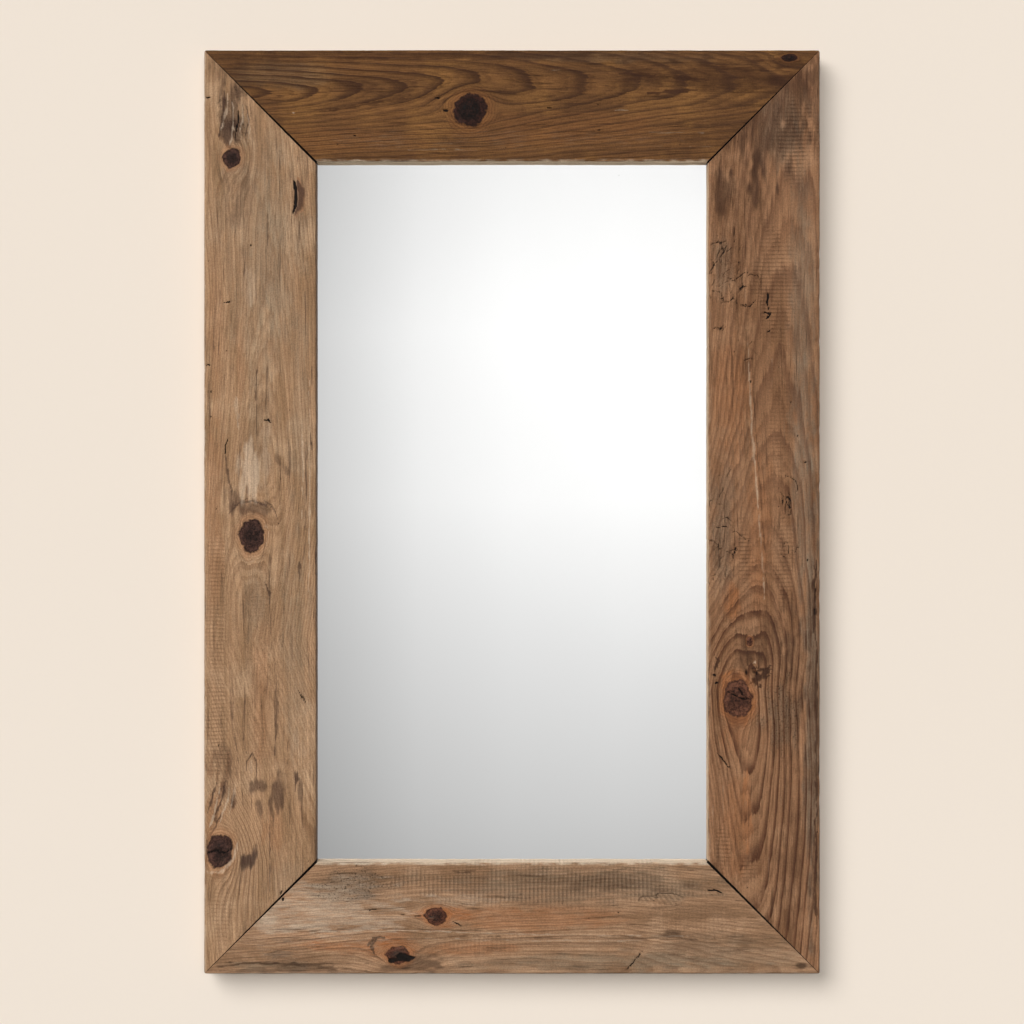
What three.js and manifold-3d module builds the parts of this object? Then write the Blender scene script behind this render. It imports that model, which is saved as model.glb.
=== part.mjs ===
// A wall mirror in a wide mitred frame of reclaimed pine boards.
// Millimetres, +Z up, +X to the right of someone looking at the glass, +Y into the wall.
// The origin is on the wall, midway between the two hooks that carry the hanger rings.
//
// Four rebated boards hold the glass, a card cushion and a backing board. Turn buttons keep the
// backing in, flat corner plates and hidden biscuits join the mitres, two ring hangers carry the
// weight and four rubber bumpers rest on the wall.

import * as THREE from "three";
import { mergeVertices } from "three/addons/utils/BufferGeometryUtils.js";
import Module from "manifold-3d";

const wasm = await Module();
wasm.setup();

// ---------------------------------------------------------------- driving dimensions

// Frame
const frameWidth = 609.6; // outside the boards
const frameHeight = 914.4;
const boardWidth = 111;
const boardThickness = 30;
const outerArris = 2.5; // rounding of the front outer edge
const innerArris = 2; // rounding of the front edge round the glass
const backArris = 1;
const cornerEase = 3; // worn off the tip of each outer corner
const rebateWidth = 12;

// The mitres have opened as the boards dried: the gap at the outer corner, and the wider one at
// each inner corner, in the order top right, bottom right, bottom left, top left.
const outerMitreGap = 0.35;
const innerMitreGaps = [1.1, 1.9, 1.7, 1.6];

// What the rebate holds, front to back
const glassThickness = 4;
const cushionThickness = 4;
const backingThickness = 6;
const glassClearance = 2; // round the glass, taken up below it by the setting blocks
const backingClearance = 1;
const settingBlockLength = 30;
const settingBlockInset = 90; // from the glass's side edge to the middle of a block
const seatGap = 0.3; // between faces that rest on each other

// Mitre biscuits
const biscuitLength = 56;
const biscuitWidth = 23;
const biscuitThickness = 4;
const biscuitClearance = 0.4;

// Corner plates
const plateLeg = 80;
const plateWidth = 16;
const plateThickness = 2;
const plateEndHole = 12; // from a leg's end to its last hole
const plateHolePitch = 38;

// Turn buttons
const buttonHeadRadius = 5.5;
const buttonTailRadius = 3.5;
const buttonReach = 20; // from the screw to the middle of the tail
const buttonThickness = 1.2;
const buttonSetback = 9; // from the rebate's edge to the screw
const stileButtonPitch = 340;

// Hangers
const hangDrop = 200; // from the frame's top edge down to the hooks
const strapWidth = 14;
const strapLength = 46; // from the hinge to the foot of the strap
const strapSheet = 1.2;
const strapHoles = [12, 34]; // down from the hinge
const ringWire = 3;
const ringWidth = 25; // between the middles of the two arms
const ringArm = 7; // from the bar to the start of the bow
const ringCorner = 3;
const ringSeam = 0.4; // between the ends of the bent wire, inside the strap's barrel
const ringPlay = 0.3; // round the wire in the barrel

// Bumpers
const bumperThickness = 7;
const bumperRadius = 9;
const bumperEdge = 1.4;
const bumperInset = 20;

// Screws: the thread's radius, the length from the face that the head bears on or lies in, the
// head's radius and how far it stands up, which is nothing where it is countersunk
const plateScrew = { shank: 2, length: 16, head: 3.8, rise: 0 };
const buttonScrew = { shank: 1.75, length: 15, head: 3.5, rise: 2 };
const strapScrew = { shank: 1.75, length: 17, head: 3.5, rise: 1.6 };
const screwClearance = 0.3;
const screwPoint = 3;
const recessWidth = 0.9;
const recessDepth = 1;
const roundSides = 12; // facets round a screw or its hole

// ---------------------------------------------------------------- what follows from them

const rebateDepth = glassThickness + cushionThickness + backingThickness + 3 * seatGap;
const lipDepth = boardThickness - rebateDepth;
const backY = -bumperThickness - seatGap;
const frontY = backY - boardThickness;
const fittingY = backY + seatGap; // where the fittings on the back start
const glassY = frontY + lipDepth + seatGap;
const cushionY = glassY + glassThickness + seatGap;
const backingY = cushionY + cushionThickness + seatGap;

const backLand = boardWidth - rebateWidth; // the flat back of a board, outside its rebate
const rebateWide = frameWidth - 2 * backLand;
const rebateHigh = frameHeight - 2 * backLand;
const glassWide = rebateWide - 2 * glassClearance;
const glassHigh = rebateHigh - 2 * glassClearance;
const backingWide = rebateWide - 2 * backingClearance;
const backingHigh = rebateHigh - 2 * backingClearance;

const centreZ = hangDrop - frameHeight / 2;
const plateInset = (backLand - plateWidth) / 2;
const plateScrewInset = plateInset + plateWidth / 2;
const plateScrewPlaces = [plateEndHole, plateEndHole + plateHolePitch].map(
  (fromEnd) => plateInset + plateLeg - fromEnd,
);
const buttonInset = backLand - buttonSetback;
const strapInset = (buttonInset - buttonReach - buttonTailRadius) / 2;
const barrelBore = ringWire / 2 + ringPlay;
const barrelRadius = barrelBore + strapSheet;
const ringRise = ringArm + ringWidth / 2; // from the bar to the top of the bow
const hingeZ = ringWire / 2 - ringRise; // the hooks hold the inside of the bow at Z 0

// ---------------------------------------------------------------- finishes

const finish = (color, roughness, metalness) =>
  new THREE.MeshStandardMaterial({ color, roughness, metalness });
const oldPine = finish("#8f6b4b", 0.8, 0);
const silvered = finish("#dfe3e3", 0.03, 1);
const card = finish("#a98a62", 0.9, 0);
const fibreboard = finish("#7d5c3e", 0.8, 0);
const beech = finish("#c9a578", 0.8, 0);
const zinc = finish("#a9abac", 0.4, 0.9);
const brassed = finish("#b59a5c", 0.4, 0.9);
const rubber = finish("#26241f", 0.9, 0);

// ---------------------------------------------------------------- shapes

// A closed geometry as a manifold-3d solid.
function toSolid(geometry) {
  const bare = geometry.index ? geometry.toNonIndexed() : geometry.clone();
  bare.deleteAttribute("normal");
  bare.deleteAttribute("uv");
  const merged = mergeVertices(bare, 1e-4);
  return new wasm.Manifold(
    new wasm.Mesh({
      numProp: 3,
      vertProperties: merged.attributes.position.array,
      triVerts: new Uint32Array(merged.index.array),
    }),
  );
}

// A manifold-3d solid as a flat-shaded geometry.
function toGeometry(solid) {
  const { numProp, vertProperties, triVerts } = solid.getMesh();
  const places = new Float32Array(triVerts.length * 3);
  triVerts.forEach((v, i) =>
    places.set(vertProperties.subarray(v * numProp, v * numProp + 3), i * 3),
  );
  const geometry = new THREE.BufferGeometry();
  geometry.setAttribute("position", new THREE.BufferAttribute(places, 3));
  geometry.computeVertexNormals();
  return geometry;
}

// The geometry with the others cut out of it.
const cut = (geometry, tools) =>
  toGeometry(tools.reduce((solid, tool) => solid.subtract(toSolid(tool)), toSolid(geometry)));

// What two geometries share.
const common = (a, b) => toGeometry(toSolid(a).intersect(toSolid(b)));

// An outline drawn in X and Z, as a slab from Y 0 to Y thickness.
function slab(outline, thickness) {
  const options = { depth: thickness, bevelEnabled: false, curveSegments: 6 };
  const made = new THREE.ExtrudeGeometry(outline, options);
  return made.rotateX(Math.PI / 2).translate(0, thickness, 0);
}

// A solid turned about Y, from its half-section drawn from the bottom up.
function turned(section, sides) {
  const points = section.map(([radius, y]) => new THREE.Vector2(radius, y));
  return new THREE.LatheGeometry(points, sides);
}

// A geometry's X, Y and Z sent to three other axes.
const reaxed = (geometry, x, y, z) =>
  geometry.applyMatrix4(new THREE.Matrix4().makeBasis(x, y, z));
const alongX = new THREE.Vector3(1, 0, 0);
const alongY = new THREE.Vector3(0, 1, 0);
const alongZ = new THREE.Vector3(0, 0, 1);

// The top of a screw's section, from its thread to the axis: a flat countersunk head, or a dome.
function headSection({ shank, head, rise }) {
  if (rise === 0) return [[shank, shank - head], [head, 0], [0, 0]];
  const slopes = [Math.PI / 6, Math.PI / 3];
  const dome = slopes.map((a) => [head * Math.cos(a), rise * Math.sin(a)]);
  return [[shank, 0], [head, 0], ...dome, [0, rise]];
}

// A screw pointing to -Y, with a cross recess. The face at Y 0 is the one it is driven down to.
function screw(kind) {
  const thread = [[0, -kind.length], [kind.shank, screwPoint - kind.length]];
  const body = turned([...thread, ...headSection(kind)], roundSides);
  const arm = 1.2 * kind.head;
  const bars = [
    new THREE.BoxGeometry(arm, 2 * recessDepth, recessWidth),
    new THREE.BoxGeometry(recessWidth, 2 * recessDepth, arm),
  ];
  return cut(body, bars.map((bar) => bar.translate(0, kind.rise, 0)));
}

// The round hole for a screw's thread, to its full length below Y 0.
function pilot({ shank, length }) {
  const radius = shank + screwClearance;
  const depth = length + screwClearance;
  return new THREE.CylinderGeometry(radius, radius, 2 * depth, roundSides);
}

// The countersink for a screw's head, below a face at Y 0.
function countersink({ shank, head }) {
  const deep = head - shank;
  const wide = head + screwClearance;
  const section = [[0, -deep], [shank + screwClearance, -deep], [wide, 0], [wide, deep], [0, deep]];
  return turned(section, roundSides);
}

// ---------------------------------------------------------------- boards

// A board's section: w in from the outer edge, d back from the face.
function boardSection() {
  const w = boardWidth;
  const t = boardThickness;
  const section = new THREE.Shape();
  section.absarc(outerArris, outerArris, outerArris, Math.PI, 1.5 * Math.PI, false);
  section.absarc(w - innerArris, innerArris, innerArris, -0.5 * Math.PI, 0, false);
  section.lineTo(w, lipDepth);
  section.lineTo(w - rebateWidth, lipDepth);
  section.lineTo(w - rebateWidth, t);
  section.lineTo(backArris, t);
  section.lineTo(0, t - backArris);
  return section;
}

// How far a mitred face is set back from the board's end, at w in from the outer edge.
function mitreSetback(w, innerGap) {
  const gap = outerMitreGap + ((innerGap - outerMitreGap) * w) / boardWidth;
  return w + gap / Math.SQRT2;
}

// A mitred board along X, with its outer edge at Z reach and its front face at Y 0.
function mitredBoard(length, reach, startGap, endGap) {
  const options = { depth: length, bevelEnabled: false, curveSegments: 3 };
  const board = new THREE.ExtrudeGeometry(boardSection(), options);
  const place = board.attributes.position;
  for (let v = 0; v < place.count; v++) {
    const w = place.getX(v);
    const atEnd = place.getZ(v) > length / 2;
    place.setZ(v, atEnd ? length - mitreSetback(w, endGap) : mitreSetback(w, startGap));
  }
  reaxed(board, alongZ.clone().negate(), alongY, alongX);
  return board.translate(-length / 2, 0, reach);
}

// ---------------------------------------------------------------- corners

// Each of these is made for a corner at X 0, Z 0 that points to +X and +Z.

// The wedge that takes the tip off.
function cornerTip() {
  const size = 4 * cornerEase;
  const away = (size / 2 - cornerEase / Math.SQRT2) / Math.SQRT2;
  const wedge = new THREE.BoxGeometry(size, 4 * boardThickness, size);
  return wedge.rotateY(Math.PI / 4).translate(away, 0, away);
}

// The biscuit, or with a clearance its slot, with its middle at Y 0 and its length on the mitre.
function biscuit(clearance = 0) {
  const a = biscuitLength / 2 + clearance;
  const b = biscuitWidth / 2 + clearance;
  const thickness = biscuitThickness + 2 * clearance;
  const lens = new THREE.Shape();
  lens.moveTo(-a, 0);
  lens.quadraticCurveTo(0, -2 * b, a, 0);
  lens.quadraticCurveTo(0, 2 * b, -a, 0);
  const lying = slab(lens, thickness).rotateY(-Math.PI / 4);
  return lying.translate(-backLand / 2, -thickness / 2, -backLand / 2);
}

// The X and Z of a plate's four screws.
const plateScrewSpots = plateScrewPlaces.flatMap((along) => [
  [-along, -plateScrewInset],
  [-plateScrewInset, -along],
]);

// The flat L plate, on a face at Y 0.
function cornerPlate() {
  const near = -plateInset;
  const far = near - plateWidth;
  const half = plateWidth / 2;
  const end = near - plateLeg + half; // the middle of a leg's round end
  const outline = new THREE.Shape();
  outline.moveTo(near, near);
  outline.lineTo(end, near);
  outline.absarc(end, near - half, half, 0.5 * Math.PI, 1.5 * Math.PI, false);
  outline.lineTo(far, far);
  outline.absarc(near - half, end, half, Math.PI, 2 * Math.PI, false);
  const holes = plateScrewSpots.flatMap(([x, z]) => [
    pilot(plateScrew).translate(x, plateThickness, z),
    countersink(plateScrew).translate(x, plateThickness, z),
  ]);
  return cut(slab(outline, plateThickness), holes);
}

// ---------------------------------------------------------------- fittings

// A turn button on a face at Y 0, with its screw at X 0, Z 0 and its tail towards -Z.
function turnButton() {
  const down = -Math.PI / 2;
  const lean = Math.acos((buttonHeadRadius - buttonTailRadius) / buttonReach);
  const outline = new THREE.Shape();
  outline.absarc(0, 0, buttonHeadRadius, down + lean, down - lean + 2 * Math.PI, false);
  outline.absarc(0, -buttonReach, buttonTailRadius, down - lean, down + lean, false);
  return cut(slab(outline, buttonThickness), [pilot(buttonScrew)]);
}

// The hanger's strap on a face at Y 0, with its sheet curled round the hinge at Z 0.
function hangerStrap() {
  const r = barrelRadius;
  const meets = Math.PI - Math.acos((r - strapSheet) / r);
  const side = new THREE.Shape();
  side.moveTo(0, -strapLength);
  side.lineTo(strapSheet, -strapLength);
  side.absarc(r, 0, r, -meets, Math.PI, false);
  side.holes.push(new THREE.Path().absarc(r, 0, barrelBore, 0, 2 * Math.PI, true));
  const options = { depth: strapWidth, bevelEnabled: false, curveSegments: 8 };
  const sheet = new THREE.ExtrudeGeometry(side, options);
  reaxed(sheet, alongY, alongZ, alongX).translate(-strapWidth / 2, 0, 0);

  const half = strapWidth / 2;
  const foot = new THREE.Shape();
  foot.moveTo(strapWidth, 2 * r);
  foot.lineTo(-strapWidth, 2 * r);
  foot.lineTo(-strapWidth, half - strapLength);
  foot.absarc(0, half - strapLength, half, Math.PI, 2 * Math.PI, false);
  foot.lineTo(strapWidth, half - strapLength);
  const trimmed = common(sheet, slab(foot, 4 * r).translate(0, -r, 0));
  return cut(trimmed, strapHoles.map((down) => pilot(strapScrew).translate(0, 0, -down)));
}

// The hanger's D ring of bent wire, with its bar along X at the origin and its bow towards +Z.
function hangerRing() {
  const arm = ringWidth / 2;
  const c = ringCorner;
  const bend = new THREE.Path();
  bend.moveTo(ringSeam / 2, 0);
  bend.lineTo(arm - c, 0);
  bend.absarc(arm - c, c, c, -0.5 * Math.PI, 0, false);
  bend.absarc(0, ringArm, arm, 0, Math.PI, false);
  bend.absarc(c - arm, c, c, Math.PI, 1.5 * Math.PI, false);
  bend.lineTo(-ringSeam / 2, 0);
  const points = bend.getSpacedPoints(60).map((p) => new THREE.Vector3(p.x, 0, p.y));
  const wire = new THREE.Shape().absarc(0, 0, ringWire / 2, 0, 2 * Math.PI, false);
  return new THREE.ExtrudeGeometry(wire, {
    steps: 36,
    curveSegments: 4,
    extrudePath: new THREE.CatmullRomCurve3(points),
  });
}

// A round rubber foot on a face at Y 0.
function bumper() {
  const r = bumperRadius;
  const t = bumperThickness;
  return turned([[0, 0], [r, 0], [r, t - bumperEdge], [r - bumperEdge, t], [0, t]], 24);
}

// ---------------------------------------------------------------- the object

const mirror = new THREE.Group();
const frame = new THREE.Group(); // its origin is the middle of the frame
frame.position.z = centreZ;
mirror.add(frame);

function add(parent, name, geometry, material, x, y, z) {
  const mesh = new THREE.Mesh(geometry, material);
  mesh.name = name;
  mesh.position.set(x, y, z);
  parent.add(mesh);
}

// The four sides run clockwise from the top. Each is built as the top one, along X, and turned
// about Y, so the corner that follows it is at its +X end. A stile's up says which way along it is
// upwards. Buttons are given by the end of their name and their place along the side.
const rail = { half: frameWidth / 2, reach: frameHeight / 2, buttons: { "": 0 } };
const stile = { half: frameHeight / 2, reach: frameWidth / 2 };
const buttonStep = stileButtonPitch / 2;
const sides = [
  { ...rail, name: "top_rail" },
  { ...stile, name: "right_stile", up: -1, buttons: { _upper: -buttonStep, _lower: buttonStep } },
  { ...rail, name: "bottom_rail" },
  { ...stile, name: "left_stile", up: 1, buttons: { _upper: buttonStep, _lower: -buttonStep } },
];
const cornerNames = ["top_right", "bottom_right", "bottom_left", "top_left"];

// What is cut out of a side's board, in the board's own place.
function boardCuts({ half, reach, buttons, up }) {
  const drill = (kind, x, inset) => pilot(kind).translate(x, boardThickness, reach - inset);
  const cuts = Object.values(buttons).map((x) => drill(buttonScrew, x, buttonInset));
  for (const end of [-1, 1]) {
    const turn = end > 0 ? 0 : -Math.PI / 2;
    const slot = biscuit(biscuitClearance).rotateY(turn);
    cuts.push(cornerTip().rotateY(turn).translate(end * half, 0, reach));
    cuts.push(slot.translate(end * half, boardThickness / 2, reach));
    for (const along of plateScrewPlaces) {
      cuts.push(drill(plateScrew, end * (half - along), plateScrewInset));
    }
  }
  if (up) {
    for (const down of strapHoles) {
      cuts.push(drill(strapScrew, up * (hingeZ - down - centreZ), strapInset));
    }
  }
  return cuts;
}

// Boards, their joints and the turn buttons on them
sides.forEach((side, i) => {
  const group = new THREE.Group();
  group.rotation.y = (i * Math.PI) / 2;
  frame.add(group);

  const { name, half, reach, buttons } = side;
  const startGap = innerMitreGaps[(i + 3) % 4];
  const board = mitredBoard(2 * half, reach, startGap, innerMitreGaps[i]);
  add(group, name, cut(board, boardCuts(side)), oldPine, 0, frontY, 0);

  const corner = cornerNames[i];
  const middleY = frontY + boardThickness / 2;
  add(group, `biscuit_${corner}`, biscuit(), beech, half, middleY, reach);
  add(group, `corner_plate_${corner}`, cornerPlate(), zinc, half, fittingY, reach);
  plateScrewSpots.forEach(([x, z], n) => {
    const label = `corner_plate_screw_${corner}_${n + 1}`;
    const face = fittingY + plateThickness;
    add(group, label, screw(plateScrew), zinc, half + x, face, reach + z);
  });

  const word = name.split("_")[0];
  const z = reach - buttonInset;
  const screwY = fittingY + buttonThickness + seatGap;
  for (const [place, x] of Object.entries(buttons)) {
    add(group, `turn_button_${word}${place}`, turnButton(), brassed, x, fittingY, z);
    add(group, `turn_button_screw_${word}${place}`, screw(buttonScrew), brassed, x, screwY, z);
  }
});

// What the rebate holds
const pane = (wide, thick, high) =>
  new THREE.BoxGeometry(wide, thick, high).translate(0, thick / 2, 0);
const glass = pane(glassWide, glassThickness, glassHigh);
const cushion = pane(glassWide, cushionThickness, glassHigh);
const backing = pane(backingWide, backingThickness, backingHigh);
add(frame, "mirror_glass", glass, silvered, 0, glassY, 0);
add(frame, "cushion_sheet", cushion, card, 0, cushionY, 0);
add(frame, "backing_board", backing, fibreboard, 0, backingY, 0);

// The setting blocks under the glass, the hangers and the bumpers, on the left and the right
for (const [word, way] of [["left", -1], ["right", 1]]) {
  const block = pane(settingBlockLength, glassThickness, glassClearance - 2 * seatGap);
  const blockX = way * (glassWide / 2 - settingBlockInset);
  const blockZ = (glassClearance - rebateHigh) / 2;
  add(frame, `setting_block_${word}`, block, rubber, blockX, glassY, blockZ);

  const hangerX = way * (frameWidth / 2 - strapInset);
  const screwY = fittingY + strapSheet + seatGap;
  const ringY = fittingY + barrelRadius;
  add(mirror, `hanger_strap_${word}`, hangerStrap(), zinc, hangerX, fittingY, hingeZ);
  add(mirror, `hanger_ring_${word}`, hangerRing(), zinc, hangerX, ringY, hingeZ);
  strapHoles.forEach((down, n) => {
    const label = `hanger_screw_${word}_${n + 1}`;
    add(mirror, label, screw(strapScrew), zinc, hangerX, screwY, hingeZ - down);
  });

  for (const [level, up] of [["top", 1], ["bottom", -1]]) {
    const bumperX = way * (frameWidth / 2 - bumperInset);
    const bumperZ = up * (frameHeight / 2 - bumperInset);
    add(frame, `wall_bumper_${level}_${word}`, bumper(), rubber, bumperX, fittingY, bumperZ);
  }
}

export default mirror;
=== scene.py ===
"""Wall mirror in a mitred frame of reclaimed pine boards, with its glass, back and fittings."""
import logging
import math
from dataclasses import dataclass, field
from enum import Enum
from typing import TypeVar

import bpy
import numpy as np
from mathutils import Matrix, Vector


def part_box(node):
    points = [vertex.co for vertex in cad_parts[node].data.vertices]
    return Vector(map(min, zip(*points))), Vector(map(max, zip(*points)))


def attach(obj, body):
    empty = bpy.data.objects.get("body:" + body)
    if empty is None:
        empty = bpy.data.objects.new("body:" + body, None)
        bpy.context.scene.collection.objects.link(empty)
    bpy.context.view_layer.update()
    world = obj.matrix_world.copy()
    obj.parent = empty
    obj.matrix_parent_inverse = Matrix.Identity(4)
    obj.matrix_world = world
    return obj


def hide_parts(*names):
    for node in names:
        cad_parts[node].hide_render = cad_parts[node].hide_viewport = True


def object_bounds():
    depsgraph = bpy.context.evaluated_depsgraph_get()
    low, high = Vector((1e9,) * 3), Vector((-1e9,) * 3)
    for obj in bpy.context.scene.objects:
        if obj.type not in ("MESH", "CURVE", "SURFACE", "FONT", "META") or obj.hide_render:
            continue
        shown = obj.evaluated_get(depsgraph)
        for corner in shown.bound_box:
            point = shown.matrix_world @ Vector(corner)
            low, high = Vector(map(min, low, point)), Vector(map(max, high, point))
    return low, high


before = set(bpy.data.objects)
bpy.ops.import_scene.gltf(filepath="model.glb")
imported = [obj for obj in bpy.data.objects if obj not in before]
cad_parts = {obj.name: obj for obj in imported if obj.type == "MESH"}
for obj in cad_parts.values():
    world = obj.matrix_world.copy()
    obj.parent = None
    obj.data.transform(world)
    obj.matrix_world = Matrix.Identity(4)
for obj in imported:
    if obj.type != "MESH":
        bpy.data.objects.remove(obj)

CAD_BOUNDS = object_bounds()
MM = 0.001
TURN = 2 * math.pi
SAW_PITCH = 3.9
WALL_STEPS = 8
ARRIS_POINTS = 6

log = logging.getLogger("wall_mirror")

Colour = tuple[float, float, float, float]
Pair = tuple[float, float]
Triple = tuple[float, float, float]
Thing = TypeVar("Thing")


def linear(tone: str) -> Colour:
    """Turns a #rrggbb tone into the linear colour that a shader mixes.

    Args:
        tone: The tone as it is seen, such as "#9b785d".

    Returns:
        Red, green, blue and a full alpha.
    """
    seen = np.array([int(tone[i:i + 2], 16) for i in (1, 3, 5)]) / 255
    low = seen / 12.92
    high = ((seen + 0.055) / 1.055) ** 2.4
    return (*np.where(seen <= 0.04045, low, high).tolist(), 1.0)


# ---------------------------------------------------------------- shader building


class Signal:
    """One socket of a material's nodes. Arithmetic on it adds Math nodes."""

    def __init__(self, recipe: "Recipe", socket: bpy.types.NodeSocket) -> None:
        """Keeps the socket and the recipe that it belongs to."""
        self.recipe = recipe
        self.socket = socket

    def math(self, operation: str, *others: "Signal | float") -> "Signal":
        """Adds a Math node that takes this signal first."""
        return self.recipe.math(operation, self, *others)

    def __add__(self, other: "Signal | float") -> "Signal":
        """Sum of two values."""
        return self.math("ADD", other)

    __radd__ = __add__

    def __sub__(self, other: "Signal | float") -> "Signal":
        """This value less the other."""
        return self.math("SUBTRACT", other)

    def __rsub__(self, other: float) -> "Signal":
        """A number less this value."""
        return self.recipe.math("SUBTRACT", other, self)

    def __mul__(self, other: "Signal | float") -> "Signal":
        """Product of two values."""
        return self.math("MULTIPLY", other)

    __rmul__ = __mul__

    def wrap(self) -> "Signal":
        """The part after the decimal point, so that a rising value repeats."""
        return self.math("FRACT")

    def step(self, low: float, high: float) -> "Signal":
        """Eases from 0 at low to 1 at high.

        Args:
            low: Where it is still 0.
            high: Where it reaches 1.

        Returns:
            The eased value.
        """
        return self.recipe.node(
            "MapRange",
            {"interpolation_type": "SMOOTHSTEP"},
            {"Value": self, "From Min": low, "From Max": high},
        )

    def output(self, name: str) -> "Signal":
        """Another output of the node that this signal comes from."""
        return Signal(self.recipe, self.socket.node.outputs[name])


class Recipe:
    """The nodes of one material, added one at a time."""

    def __init__(self, name: str) -> None:
        """Starts an empty material.

        Args:
            name: The material's name.
        """
        self.material = bpy.data.materials.new(name)
        self.material.use_nodes = True
        self.tree = self.material.node_tree
        self.tree.nodes.clear()

    def node(
        self,
        kind: str,
        settings: dict[str, object] | None = None,
        inputs: dict[str | int, object] | None = None,
        output: str | int = 0,
    ) -> Signal:
        """Adds a node of any kind.

        Args:
            kind: The node's type without its ShaderNode prefix.
            settings: Properties set first; "stops" fills a colour ramp.
            inputs: Values or signals for the sockets, by name or number.
            output: The socket to return.

        Returns:
            The chosen output as a signal.
        """
        node = self.tree.nodes.new("ShaderNode" + kind)
        for key, value in (settings or {}).items():
            if key == "stops":
                self._fill_ramp(node.color_ramp, value)
            else:
                setattr(node, key, value)
        for key, value in (inputs or {}).items():
            if isinstance(value, Signal):
                self.tree.links.new(value.socket, node.inputs[key])
            else:
                node.inputs[key].default_value = value
        return Signal(self, node.outputs[output])

    @staticmethod
    def _fill_ramp(ramp: bpy.types.ColorRamp, stops: tuple[tuple[float, Colour], ...]) -> None:
        """Sets a ramp's stops.

        Args:
            ramp: The ramp.
            stops: Pairs of place and colour.
        """
        while len(ramp.elements) < len(stops):
            ramp.elements.new(1.0)
        for element, (place, colour) in zip(ramp.elements, stops):
            element.position = place
            element.color = colour

    def math(self, operation: str, *values: Signal | float) -> Signal:
        """Adds a Math node on up to three values."""
        return self.node("Math", {"operation": operation}, dict(enumerate(values)))

    def mix(
        self, amount: Signal | float, first: object, second: object, blend: str = "MIX"
    ) -> Signal:
        """Mixes two colours.

        Args:
            amount: How much of the second colour, 0 to 1.
            first: A colour, or a signal that carries one.
            second: The colour laid over it.
            blend: The Mix node's way of blending.

        Returns:
            The mixed colour.
        """
        settings = {"data_type": "RGBA", "blend_type": blend}
        return self.node("Mix", settings, {0: amount, 6: first, 7: second}, 2)

    def stretch(self, vector: Signal, by: Triple) -> Signal:
        """Scales a vector's three parts."""
        return self.node("VectorMath", {"operation": "MULTIPLY"}, {0: vector, 1: by})

    def dim(self, colour: Signal | Triple, by: Signal) -> Signal:
        """Scales a colour's brightness."""
        return self.node("VectorMath", {"operation": "SCALE"}, {0: colour, "Scale": by})

    def parts(self, vector: Signal) -> tuple[Signal, Signal, Signal]:
        """Splits a vector into its three values."""
        x = self.node("SeparateXYZ", inputs={0: vector})
        return x, x.output("Y"), x.output("Z")

    def stored(self, name: str) -> Signal:
        """The vector that a piece's own attribute holds."""
        return self.node("Attribute", {"attribute_name": name}, output="Vector")

    def place(self) -> Signal:
        """Object coordinates, in metres."""
        return self.node("TexCoord", output="Object")

    def noise(self, vector: Signal, by: Triple, detail: float = 2.0, rough: float = 0.55) -> Signal:
        """Noise on a stretched vector, about 0.5 on average.

        Args:
            vector: The coordinates, in metres.
            by: Cells to the metre along each axis.
            detail: Extra octaves.
            rough: How strong each octave is beside the last.

        Returns:
            The noise value.
        """
        place = self.stretch(vector, by)
        inputs = {"Vector": place, "Scale": 1.0, "Detail": detail, "Roughness": rough}
        return self.node("TexNoise", inputs=inputs)

    def bump(self, height: Signal, depth: float, strength: float = 1.0) -> Signal:
        """Turns a height from 0 to 1 into a normal.

        Args:
            height: The height.
            depth: Metres that a height of 1 stands for.
            strength: How much of it shows.

        Returns:
            The bumped normal.
        """
        return self.node("Bump", inputs={"Height": height, "Distance": depth, "Strength": strength})

    def finish(self, **sockets: object) -> bpy.types.Material:
        """Ends the recipe in one shader.

        Args:
            sockets: The shader's sockets, with _ for each space in a name.

        Returns:
            The finished material.
        """
        inputs = {key.replace("_", " "): value for key, value in sockets.items()}
        shader = self.node("BsdfPrincipled", inputs=inputs)
        self.node_output(shader)
        return self.material

    def node_output(self, shader: Signal) -> None:
        """Links a shader to the material's output."""
        output = self.tree.nodes.new("ShaderNodeOutputMaterial")
        self.tree.links.new(shader.socket, output.inputs["Surface"])


# ---------------------------------------------------------------- finishes


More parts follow.
